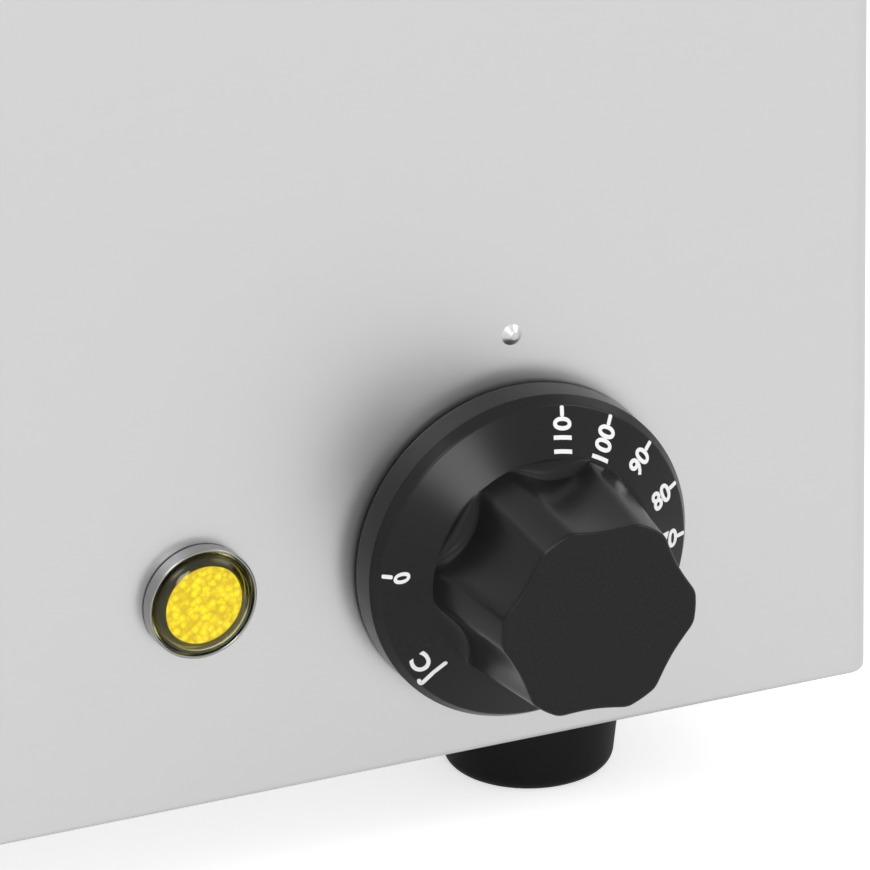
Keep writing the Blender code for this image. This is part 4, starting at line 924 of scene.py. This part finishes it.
def make_handle(number, x):
    """Round bar bent to a bridge, with its edges eased where it stands on the leaf."""
    low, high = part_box("lid_handle_%d" % number)
    y = middle(low, high)[1]
    half = HANDLE_SPAN / 2
    crown = high.z - HANDLE_RADIUS
    path = eased((
        (-half, low.z, 0.0), (-half, crown, HANDLE_BEND), (half, crown, HANDLE_BEND), (half, low.z, 0.0)),
        closed=False, steps=HANDLE_BEND_STEPS)
    path = np.column_stack((path[:, 0] + x, np.full(len(path), y), path[:, 1]))
    make_piece("handle_%d" % number, [tube(path, HANDLE_RADIUS, (0, 1, 0), HANDLE_SIDES)], polished_steel,
               "flap_%d" % number, ("lid_handle_%d" % number,))


# Knob and its printed scale


# Heights above the panel of the skirt's edge, the bevel's inner edge and the grip's root
arris_u = KNOB_STANDOFF + SKIRT_THICKNESS
bevel_u = arris_u + SKIRT_BEVEL_RISE
root_u = bevel_u + DIAL_RISE
DIAL_WIDTH = SKIRT_RADIUS - SKIRT_BEVEL - GRIP_ROOT_RADIUS


def scoop_share(angle):
    """0 on a lobe to 1 in the middle of a scoop: a parabola across its width, eased into the lobes."""
    pitch = TURN / SCOOP_COUNT
    offset = (angle - LOBE_ANGLE) % pitch - pitch / 2
    arch = 1 - (2 * offset / SCOOP_WIDTH) ** 2
    ease = np.clip((arch + LOBE_ROUND) / (2 * LOBE_ROUND), 0, 1)
    return np.where(arch > LOBE_ROUND, arch, LOBE_ROUND * ease * ease)


def make_knob():
    """Moulded knob: plain rings for the hub, the skirt, its bevel and the conical dial, then rings
    of an evenly narrowing grip. Each scoop starts in a quarter-round ledge at the grip's root."""
    floor_u = arris_u - SKIRT_WALL
    inside = SKIRT_RADIUS - SKIRT_WALL
    hold_u = root_u - HOLD * DIAL_RISE / DIAL_WIDTH
    plain = eased((
        (HUB_RADIUS, KNOB_STANDOFF, 0.0), (HUB_RADIUS, floor_u, GAP), (inside, floor_u, GAP),
        (inside, KNOB_STANDOFF, GAP), (SKIRT_RADIUS, KNOB_STANDOFF, GAP),
        (SKIRT_RADIUS, arris_u, ARRIS_ROUND), (SKIRT_RADIUS - SKIRT_BEVEL, bevel_u, CONE_ROUND),
        (GRIP_ROOT_RADIUS + HOLD, hold_u, 0.0), (GRIP_ROOT_RADIUS, root_u, 0.0)), closed=False, steps=5)
    angle = np.linspace(0, TURN, GRIP_SIDES, endpoint=False)
    dip = scoop_share(angle)
    ledge = LEDGE_SHARE * (1 - np.cos(np.linspace(0, QUARTER, LEDGE_RINGS)))
    wall = np.linspace(LEDGE_SHARE, 1 - GRIP_EDGE / GRIP_HEIGHT, GRIP_RINGS)
    share = np.concatenate((ledge[1:], wall[1:]))
    rest = np.maximum(1 - share / LEDGE_SHARE, 0)
    radius = GRIP_ROOT_RADIUS + (GRIP_FACE_RADIUS - GRIP_ROOT_RADIUS) * share
    scoop = SCOOP_ROOT_SHARE + (SCOOP_FACE_SHARE - SCOOP_ROOT_SHARE) * share
    depth = radius * scoop * np.sqrt(1 - rest * rest)
    edge = np.linspace(0, QUARTER, EDGE_RINGS + 1)[1:]
    face = (radius[-1] - GRIP_EDGE - HOLD) - depth[-1] * dip[None, :]
    reach = np.vstack((
        np.repeat(plain[:, :1], GRIP_SIDES, axis=1), radius[:, None] - depth[:, None] * dip,
        radius[-1] - GRIP_EDGE * (1 - np.cos(edge))[:, None] - depth[-1] * dip, face, face * FACE_RING_SHARE))
    face_u = root_u + GRIP_HEIGHT
    height = np.concatenate((
        plain[:, 1], root_u + share * GRIP_HEIGHT, face_u - GRIP_EDGE * (1 - np.sin(edge)), (face_u, face_u)))
    grid = around(reach, angle, height[:, None], "front")
    spot = np.array((knob_x, front_y, control_z))
    piece = make_piece("knob", [skin(grid + spot)], knob_black, "knob", ("control_knob",))
    bore_end = front_y - KNOB_STANDOFF - SHAFT_BORE_DEPTH
    bore = rod((knob_x, front_y, control_z), (knob_x, bore_end, control_z), SHAFT_RADIUS + GAP, BORE_SIDES)
    combine(piece, [bore], "DIFFERENCE")


# Letters before they are scaled, in units of the font
LETTER_WEIGHT = 0.030
LETTER_SOLID = 0.01
LETTER_CURVE_STEPS = 5
LETTER_MERGE = 0.0005
LETTER_STRIP = 0.1

# Print on the dial: distances run along its slope from the grip's root, and angles in degrees from
# the right, counter-clockwise as the front shows it
CONE_LENGTH = math.hypot(DIAL_WIDTH, DIAL_RISE)
BEVEL_LENGTH = math.hypot(SKIRT_BEVEL, SKIRT_BEVEL_RISE)
PRINT_LIFT = 0.00004
PRINT_DEPTH = 0.00006
STROKE_STEPS = 24
STROKE_END_SHARE = 0.6
DIGIT_HEIGHT = 0.0039
DIGIT_STRETCH = 1.03
TEXT_OUT = 0.0077
TICK_IN = 0.0077
TICK_OUT = 0.0098
TICK_WIDTH = 0.0008
DIAL_TOP = 79.0
DIAL_PITCH = 20.0
DIAL_NUMBERS = (110, 100, 90, 80, 70, 60, 50, 40, 30)
ZERO_ANGLE = 174.8
ZERO_IN = 0.0044
ZERO_HEIGHT = 0.0031
ZERO_SLANT = 0.30
ZERO_WIDEN = 1.12
UNIT_ANGLE = -146.0
UNIT_IN = 0.0046
UNIT_HEIGHT = 0.0042
UNIT_SLANT = 0.22
STEM_ANGLE = -141.5
STEM_REACH = 0.028
STEM = ((0.0026, 1.0), (0.0060, 2.2), (0.0098, 4.4), (0.0093, 1.6))


def flat_text(words, strip_axis, height):
    """Bold letters as closed flat solids of one height, cut into narrow strips so that they bend."""
    curve = bpy.data.curves.new("dial_words", "FONT")
    curve.body = words
    curve.size = 1.0
    curve.offset = LETTER_WEIGHT
    curve.extrude = LETTER_SOLID
    curve.resolution_u = LETTER_CURVE_STEPS
    letters = add_object("dial_words", curve)
    mesh = final_mesh(letters)
    bpy.data.objects.remove(letters, do_unlink=True)
    shape = bmesh.new()
    shape.from_mesh(mesh)
    bmesh.ops.remove_doubles(shape, verts=shape.verts, dist=LETTER_MERGE)
    levels = [vert.co[strip_axis] for vert in shape.verts]
    square = Vector((1.0, 0.0, 0.0)) if strip_axis == 0 else Vector((0.0, 1.0, 0.0))
    for level in np.arange(min(levels), max(levels), LETTER_STRIP)[1:]:
        geometry = shape.verts[:] + shape.edges[:] + shape.faces[:]
        bmesh.ops.bisect_plane(shape, geom=geometry, plane_co=square * level, plane_no=square)
    heights = [vert.co.y for vert in shape.verts]
    foot = min(heights)
    start = min(vert.co.x for vert in shape.verts)
    scale = height / (max(heights) - foot)
    for vert in shape.verts:
        vert.co = Vector((
            (vert.co.x - start) * scale * DIGIT_STRETCH, (vert.co.y - foot) * scale,
            math.copysign(PRINT_DEPTH, vert.co.z)))
    shape.to_mesh(mesh)
    shape.free()
    return smoothed(mesh)


def on_dial(along, across, lift, angle):
    """Point on the dial: along its slope from the root over the cone and then the bevel, across it
    round the axis, and off it along its normal."""
    cone = np.array((DIAL_WIDTH, -DIAL_RISE)) / CONE_LENGTH
    bevel = np.array((SKIRT_BEVEL, -SKIRT_BEVEL_RISE)) / BEVEL_LENGTH
    on_cone = np.minimum(along, CONE_LENGTH)
    past = np.maximum(along - CONE_LENGTH, 0)
    leans = np.where(past > 0, -bevel[1], -cone[1])
    rises = np.where(past > 0, bevel[0], cone[0])
    radius = GRIP_ROOT_RADIUS + cone[0] * on_cone + bevel[0] * past + leans * lift
    height = root_u + cone[1] * on_cone + bevel[1] * past + rises * lift
    turn = angle + across / radius
    spot = np.array((knob_x, front_y, control_z))
    return spot + around(radius, turn, height, "front")


def print_on_dial(name, mesh, place):
    """Maps a flat mesh's points on the dial and rides it with the knob."""
    count = len(mesh.vertices)
    flat = np.zeros(count * 3)
    mesh.vertices.foreach_get("co", flat)
    mesh.vertices.foreach_set("co", place(flat.reshape(-1, 3)).ravel())
    mesh.update()
    mesh.materials.clear()
    mesh.materials.append(dial_white)
    piece = add_object(name, mesh)
    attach(piece, "knob")


def make_dial():
    """White scale: each number reads outwards and ends at its tick; zero and the unit stand upright."""
    for step, number in enumerate(DIAL_NUMBERS):
        angle = math.radians(DIAL_TOP - DIAL_PITCH * step)
        mesh = flat_text(str(number), 1, DIGIT_HEIGHT)

        def outwards(flat, angle=angle):
            along = TEXT_OUT - flat[:, 0].max() + flat[:, 0]
            return on_dial(along, flat[:, 1] - DIGIT_HEIGHT / 2, flat[:, 2] + PRINT_LIFT, angle)

        print_on_dial("scale_%d" % number, mesh, outwards)
        make_stroke("tick_%d" % number, ((TICK_IN, 0.0), (TICK_OUT, 0.0)), angle)
    angle = math.radians(ZERO_ANGLE)

    def upright(flat):
        across = (flat[:, 0].max() / 2 - flat[:, 0]) * ZERO_WIDEN
        across += ZERO_SLANT * (flat[:, 1] - ZERO_HEIGHT / 2)
        return on_dial(ZERO_IN + flat[:, 1], across, flat[:, 2] + PRINT_LIFT, angle)

    print_on_dial("scale_0", flat_text("0", 0, ZERO_HEIGHT), upright)
    make_stroke("tick_0", ((TICK_IN, 0.0), (TICK_OUT, 0.0)), angle)
    angle = math.radians(UNIT_ANGLE)

    def slanted(flat):
        across = flat[:, 0].max() / 2 - flat[:, 0] + UNIT_SLANT * (flat[:, 1] - UNIT_HEIGHT / 2)
        return on_dial(UNIT_IN + flat[:, 1], across, flat[:, 2] + PRINT_LIFT, angle)

    print_on_dial("scale_unit", flat_text("C", 0, UNIT_HEIGHT), slanted)
    corners = [(along, math.radians(lead) * STEM_REACH) for along, lead in STEM]
    make_stroke("unit_stem", corners, math.radians(STEM_ANGLE))


def make_stroke(name, corners, angle):
    """Flat printed line through corners given along and across the dial, narrowed at both ends."""
    path = eased([(*corner, TICK_WIDTH / 4) for corner in corners], closed=False, steps=6)
    legs = np.diff(path, axis=0)
    reach = np.concatenate(((0.0,), np.cumsum(np.linalg.norm(legs, axis=1))))
    stops = np.unique(np.concatenate((reach, np.linspace(0, reach[-1], STROKE_STEPS))))
    spots = np.column_stack([np.interp(stops, reach, path[:, column]) for column in (0, 1)])
    lead = np.gradient(spots, axis=0)
    lead /= np.linalg.norm(lead, axis=1, keepdims=True)
    ends = np.minimum(stops, reach[-1] - stops) / (TICK_WIDTH / 4)
    half = TICK_WIDTH / 2 * np.clip(STROKE_END_SHARE + (1 - STROKE_END_SHARE) * ends, 0, 1)
    side = np.column_stack((-lead[:, 1], lead[:, 0])) * half[:, None]
    rings = []
    for way, lift in ((1, -PRINT_DEPTH), (-1, -PRINT_DEPTH), (-1, PRINT_DEPTH), (1, PRINT_DEPTH)):
        flat = spots + side * way
        rings.append(on_dial(flat[:, 0], flat[:, 1], np.full(len(flat), PRINT_LIFT + lift), angle))
    make_piece(name, [skin(np.stack(rings, axis=1))], dial_white, "knob")


# Pilot lamp


def make_lamp():
    """Pilot lamp: chrome ring, dark cup, lit prism disc and a clear amber dome, all turned."""
    spot = (lamp_x, front_y, lamp_z)
    inner = BEZEL_RADIUS - BEZEL_WALL
    ring = eased((
        (inner, GAP, 0.0), (BEZEL_RADIUS, GAP, 0.0), (BEZEL_RADIUS, BEZEL_HEIGHT + GAP, BEZEL_OUTER_ROUND),
        (inner, BEZEL_HEIGHT + GAP, BEZEL_INNER_ROUND)), steps=8)
    make_piece("lamp_ring", [turned(ring, spot, "front", loop=True)], chrome,
               replaces=("lamp_bezel",))
    lens_radius = inner - GAP
    sweep = np.linspace(0, QUARTER, DOME_STEPS)
    base = GAP + LENS_FLANGE
    arch = np.column_stack((np.cos(sweep), np.sin(sweep))).clip(0, 1) ** DOME_FULLNESS
    dome = arch * (lens_radius, LENS_DOME) + (0.0, base)
    hollow = arch * (lens_radius - LENS_WALL, LENS_DOME - LENS_WALL) + (0.0, base)
    dome[-1, 0] = hollow[-1, 0] = LENS_POLE_RADIUS
    foot = ((lens_radius, GAP + LENS_FOOT), (lens_radius - LENS_WALL, GAP + LENS_FOOT))
    profile = np.vstack((dome[::-1], foot, hollow))
    make_piece("lamp_dome", [turned(profile, spot, "front")], lens_amber,
               replaces=("lamp_lens",))
    near, far = PRISM_RADIUS + CUP_GAP, inner - CUP_GAP
    cup = (
        (near, GAP), (far, GAP), (far, GAP + CUP_FLOOR), (near + CUP_LEAN, GAP + CUP_FLOOR),
        (near, PRISM_LEVEL + CUP_RISE))
    make_piece("lamp_well", [turned(cup, spot, "front", loop=True)], lamp_dark)
    make_prism_disc(spot)


def make_prism_disc(spot):
    """Round disc whose face is a grid of small pyramids: two sawtooth waves at right angles, the
    lower of the two at each place, faded out at the rim."""
    angle = np.linspace(0, TURN, PRISM_SIDES, endpoint=False)
    reach = np.linspace(PRISM_POLE_SHARE, 1, PRISM_RINGS)[:, None] * PRISM_RADIUS
    across, along = reach * np.cos(angle), reach * np.sin(angle)
    first = (across * math.cos(PRISM_TURN) + along * math.sin(PRISM_TURN)) / PRISM_PITCH
    second = (along * math.cos(PRISM_TURN) - across * math.sin(PRISM_TURN)) / PRISM_PITCH
    wave = np.minimum(np.abs(first % 1 - 0.5), np.abs(second % 1 - 0.5)) * 2
    height = PRISM_LEVEL + PRISM_RISE * wave * np.clip((1 - reach / PRISM_RADIUS) * PRISM_FADE, 0, 1)
    top = around(reach, angle, height, "front")[::-1]
    back = around(reach[-1:], angle, GAP, "front")
    grid = np.vstack((back, top)) + np.array(spot)
    make_piece("lamp_prisms", [skin(grid)], lamp_glow)


# Feet


def make_feet():
    """Turned feet: a taper to a rounded floor edge, with the screw's recess below."""
    for name in FOOT_PLACES:
        low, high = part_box("foot_" + name)
        spot = (*middle(low, high)[:2], 0.0)
        profile = eased((
            (FOOT_BORE, high.z, 0.0), (FOOT_TOP_RADIUS, high.z, FOOT_EDGE),
            (FOOT_FLOOR_RADIUS, 0.0, FOOT_FLOOR_ROUND), (FOOT_RECESS_RADIUS, 0.0, FOOT_EDGE),
            (FOOT_RECESS_RADIUS, FOOT_RECESS_DEPTH, 0.0), (FOOT_BORE, FOOT_RECESS_DEPTH, 0.0)), steps=10)
        make_piece("foot_pad_" + name, [turned(profile, spot, loop=True)], foot_rubber,
                   replaces=("foot_" + name,))


# Drain tap and cable gland


def make_tap():
    """Turned valve body and a bent spout, with the lever on top."""
    reach = front_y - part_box("tap_body")[0].y
    ball = front_y - tap_y
    barrel = TAP_FLANGE + TAP_NECK
    barrel_end = barrel + TAP_BARREL
    collar = reach - TAP_COLLAR
    outside = (
        (THREAD_RADIUS, GAP, 0.0), (TAP_FLANGE_RADIUS, GAP, TAP_RIM_EDGE),
        (TAP_FLANGE_RADIUS, TAP_FLANGE, TAP_EDGE), (TAP_NECK_RADIUS, TAP_FLANGE, TAP_FILLET),
        (TAP_NECK_RADIUS, barrel, TAP_EDGE), (TAP_BARREL_RADIUS, barrel, TAP_BARREL_ROUND),
        (TAP_BARREL_RADIUS, barrel_end, TAP_BARREL_ROUND), (TAP_NECK_RADIUS, barrel_end, TAP_EDGE),
        (TAP_NECK_RADIUS, collar, TAP_FILLET), (TAP_COLLAR_RADIUS, collar, TAP_RIM_EDGE),
        (TAP_COLLAR_RADIUS, reach, TAP_RIM_EDGE))
    inside = (
        (THREAD_RADIUS, reach, TAP_MOUTH_EDGE), (THREAD_RADIUS, reach - SPOUT_SOCKET, 0.0),
        (TAP_BORE, reach - SPOUT_SOCKET, 0.0), *((radius, ball + out, 0.0) for out, radius in BALL_SEAT),
        (TAP_BORE, GAP + THREAD_DEPTH, 0.0), (THREAD_RADIUS, GAP + THREAD_DEPTH, 0.0))
    valve = turned(eased(outside + inside, steps=5), (tap_x, front_y, control_z), "front", loop=True)
    body = make_piece("valve_body", [valve], nickel, replaces=("tap_body",))
    top = (tap_x, tap_y, control_z + STEM_HOLE_LENGTH)
    combine(body, [rod((tap_x, tap_y, control_z), top, STEM_HOLE_RADIUS, BORE_SIDES)], "DIFFERENCE")
    low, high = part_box("tap_spout")
    turn_y = low.y + SPOUT_RADIUS
    path = eased(((high.y, control_z, 0.0), (turn_y, control_z, SPOUT_BEND), (turn_y, low.z, 0.0)),
                 closed=False, steps=SPOUT_BEND_STEPS)
    pipe = tube(set_at(tap_x, path), SPOUT_RADIUS, (1, 0, 0), SPOUT_SIDES, loop_bore=TAP_BORE)
    make_piece("spout_pipe", [pipe], nickel, replaces=("tap_spout",))
    make_lever()
    make_sleeve()
    low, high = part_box("tap_lever_nut")
    nut = hex_shape((tap_x, tap_y, 0.0), LEVER_NUT_RADIUS, LEVER_NUT_BORE, low.z, high.z)
    make_piece("lever_nut", [nut], polished_steel, "tap_handle", ("tap_lever_nut",))


def make_lever():
    """Flat lever cranked over the barrel: its section carried along the crank's line."""
    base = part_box("tap_lever")[0].z
    half = LEVER_HALF_WIDTH
    line = eased((
        (-half, 0.0, 0.0), (half, 0.0, LEVER_BEND), (half + LEVER_CRANK, LEVER_CRANK, LEVER_BEND),
        (LEVER_LENGTH, LEVER_CRANK, 0.0)), closed=False, steps=6)
    section = eased((
        (-half, 0.0, LEVER_EDGE), (half, 0.0, LEVER_EDGE), (half, LEVER_THICKNESS, LEVER_EDGE),
        (-half, LEVER_THICKNESS, LEVER_EDGE)), steps=3)
    rows = [set_at(tap_x + along, (tap_y, base + rise) + section) for along, rise in line]
    lever = make_piece("lever_bar", [skin(np.array(rows))], polished_steel, "tap_handle",
                       ("tap_lever",))
    ends = [(tap_x, tap_y, base + end) for end in LEVER_HOLE_ENDS]
    combine(lever, [rod(*ends, STEM_HOLE_RADIUS, BORE_SIDES)], "DIFFERENCE")


def make_sleeve():
    """Sleeve over the lever's end: rounded rectangles at places along it, each drawn in by its inset."""
    low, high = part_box("tap_lever_grip")
    half_y, half_z = (high.y - low.y) / 2, (high.z - low.z) / 2
    core_z = middle(low, high)[2]
    stations = [(high.x - SLEEVE_WALL, SLEEVE_WALL), (low.x, SLEEVE_WALL)]
    stations += [(low.x + along, inset) for along, inset in SLEEVE_MOUTH]
    stations += [(high.x - along, inset) for along, inset in SLEEVE_END]
    rows = []
    for x, inset in stations:
        corner = max(SLEEVE_CORNER - inset, SLEEVE_LEAST_CORNER)
        outline = eased([
            (side * (half_y - inset), rise * (half_z - inset), corner)
            for side, rise in ((-1, -1), (1, -1), (1, 1), (-1, 1))], steps=5)
        rows.append(set_at(x, (tap_y, core_z) + outline))
    make_piece("lever_sleeve", [skin(np.array(rows))], fitting_black, "tap_handle",
               ("tap_lever_grip",))


def hexagon(angle, radius):
    """Distance from the middle to the side of a hexagon whose corners are at a radius."""
    return radius * math.cos(math.pi / 6) / np.cos((angle % (math.pi / 3)) - math.pi / 6)


def hex_shape(spot, radius, bore, low, high):
    """Hexagon with chamfered corners: its radius is the lesser of the hexagon and a circle that
    narrows at both ends, with a round bore."""
    angle = np.linspace(0, TURN, HEX_SIDES, endpoint=False)
    flats = hexagon(angle, radius)
    rows = [
        (np.minimum(flats, radius * cap), low + (high - low) * share) for share, cap in HEX_CHAMFER_SHARES]
    rows += [(bore, high), (bore, low)]
    return skin(stacked(angle, rows, "up") + np.array(spot), loop=True)


def stacked(angle, rows, facing):
    """Grid of rings from rows of (radius, height), with one radius or one for each angle."""
    return np.array([around(reach, angle, height, facing) for reach, height in rows])


def make_gland():
    """Cable gland: threaded tail, hexagon, and a ribbed domed cap round an open bore."""
    reach = gland_high.y - rear_y
    tail = gland_low.y - rear_y
    angle = np.linspace(0, TURN, GLAND_SIDES, endpoint=False)
    flats = hexagon(angle, GLAND_HEX_RADIUS)
    cut = np.minimum(flats, GLAND_HEX_CHAMFER_RADIUS)
    ribs = GLAND_RIB_RISE * np.clip(np.cos(GLAND_RIB_COUNT * angle) * GLAND_RIB_FLAT, -1, 1)
    rows = [
        (GLAND_THREAD_RADIUS, tail), (GLAND_THREAD_RADIUS, GAP), (cut, GAP),
        (flats, GAP + GLAND_HEX_START), (flats, GAP + GLAND_HEX_END - GLAND_HEX_CHAMFER),
        (cut, GAP + GLAND_HEX_END), (GLAND_NECK_RADIUS, GAP + GLAND_HEX_END + GLAND_NECK),
        (GLAND_CAP_RADIUS + ribs, GAP + GLAND_CAP_START), (GLAND_CAP_RADIUS + ribs, reach - GLAND_RIB_END)]
    for step in np.linspace(0, QUARTER, GLAND_DOME_STEPS):
        inset, drop = GLAND_DOME * (1 - math.cos(step)), GLAND_DOME * (1 - math.sin(step))
        rows.append((GLAND_CAP_RADIUS - inset, reach - drop))
    rows += [
        (GLAND_BORE + GLAND_BORE_ROUND, reach), (GLAND_BORE, reach - GLAND_BORE_EDGE), (GLAND_BORE, tail)]
    spot = np.array((gland_x, rear_y, gland_z))
    make_piece("gland_cap", [skin(stacked(angle, rows, "rear") + spot, loop=True)], fitting_black,
               replaces=("cable_gland",))


# Floor, light and camera


FLOOR_REACH = 30.0
FLOOR_GREY = 0.80
FLOOR_ROUGHNESS = 0.9
FLOOR_LIFTS = (("Is Camera Ray", 0.62), ("Is Glossy Ray", 0.27), ("Is Transmission Ray", 0.27))
WORLD_DIFFUSE = 0.62

# Each lamp: name, place, the point it looks at, side of its square and power in watts
LAMPS = (
    ("key", (-1.78, -1.82, 3.03), (0.2, 0.0, 0.1), 1.9, 40.0),
    ("front", (-0.30, -3.95, 1.35), (0.2, 0.0, 0.1), 1.25, 38.0),
    ("side", (2.6, -1.4, 1.8), (0.1, 0.0, 0.1), 1.6, 18.0))

# Camera: its sensor in millimetres, and the width of what it sees at the knob
CAMERA_DISTANCE = 7.5
CAMERA_REACH = 1000.0
PICTURE_WIDTH = 0.16415
SENSOR = 36.0
VIEW_AZIMUTH = math.radians(-25.1)
VIEW_ELEVATION = math.radians(25.1)
AIM_LEFT_OF_KNOB = 0.0160
AIM_ABOVE_KNOB = 0.0253


def make_floor():
    """Pale floor: it takes shadows from the lamps and adds white where the camera or a reflection sees it."""
    material = bpy.data.materials.new("pale_floor")
    material.use_nodes = True
    tree = material.node_tree
    shader = tree.nodes["Principled BSDF"]
    shader.inputs["Base Color"].default_value = (*grey(FLOOR_GREY), 1.0)
    shader.inputs["Roughness"].default_value = FLOOR_ROUGHNESS
    shader.inputs["Specular IOR Level"].default_value = 0.0
    shader.inputs["Emission Color"].default_value = (1.0, 1.0, 1.0, 1.0)
    path = tree.nodes.new("ShaderNodeLightPath")
    lift = 0.0
    for ray, share in FLOOR_LIFTS:
        lift = calculate(tree, "MULTIPLY_ADD", path.outputs[ray], share, lift)
    tree.links.new(lift, shader.inputs["Emission Strength"])
    mesh = bpy.data.meshes.new("floor")
    corners = [(x * FLOOR_REACH, y * FLOOR_REACH, 0) for x, y in ((-1, -1), (1, -1), (1, 1), (-1, 1))]
    mesh.from_pydata(corners, [], [(0, 1, 2, 3)])
    mesh.materials.append(material)
    add_object("floor", mesh)


def make_world():
    """White to the camera and to reflections, softer as light on the object."""
    world = bpy.data.worlds.new("studio")
    bpy.context.scene.world = world
    world.use_nodes = True
    tree = world.node_tree
    back = tree.nodes["Background"]
    back.inputs["Color"].default_value = (1.0, 1.0, 1.0, 1.0)
    ray = tree.nodes.new("ShaderNodeLightPath").outputs
    seen = calculate(tree, "MAXIMUM", ray["Is Camera Ray"], ray["Is Glossy Ray"])
    through = calculate(tree, "MAXIMUM", seen, ray["Is Transmission Ray"])
    tree.links.new(map_share(tree, through, WORLD_DIFFUSE, 1.0), back.inputs["Strength"])


def make_light(name, spot, aim, size, power):
    """Square area lamp that looks from one point at another."""
    lamp = bpy.data.lights.new(name, "AREA")
    lamp.size = size
    lamp.energy = power
    holder = add_object(name, lamp)
    holder.location = spot
    holder.rotation_euler = (Vector(aim) - Vector(spot)).to_track_quat("-Z", "Y").to_euler()


def make_camera():
    """Camera at the photograph's angle, far off, aimed at the spot in the middle of the picture."""
    lens = bpy.data.cameras.new("camera")
    lens.sensor_width = SENSOR
    lens.lens = SENSOR * CAMERA_DISTANCE / PICTURE_WIDTH
    lens.clip_end = CAMERA_REACH
    camera = add_object("camera", lens)
    aim = Vector((knob_x - AIM_LEFT_OF_KNOB, front_y, control_z + AIM_ABOVE_KNOB))
    away = Vector((
        math.sin(VIEW_AZIMUTH) * math.cos(VIEW_ELEVATION), -math.cos(VIEW_AZIMUTH) * math.cos(VIEW_ELEVATION),
        math.sin(VIEW_ELEVATION)))
    camera.location = aim + away * CAMERA_DISTANCE
    camera.rotation_euler = (-away).to_track_quat("-Z", "Y").to_euler()
    bpy.context.scene.camera = camera


finish_nodes()
make_casing()
make_deck()
make_well()
for pan_number in (1, 2, 3):
    make_pan(pan_number)
    make_lid(pan_number)
make_knob()
make_dial()
make_lamp()
make_feet()
make_tap()
make_gland()
make_floor()
make_world()
for lamp in LAMPS:
    make_light(*lamp)
make_camera()
bpy.context.scene.view_settings.view_transform = "Standard"
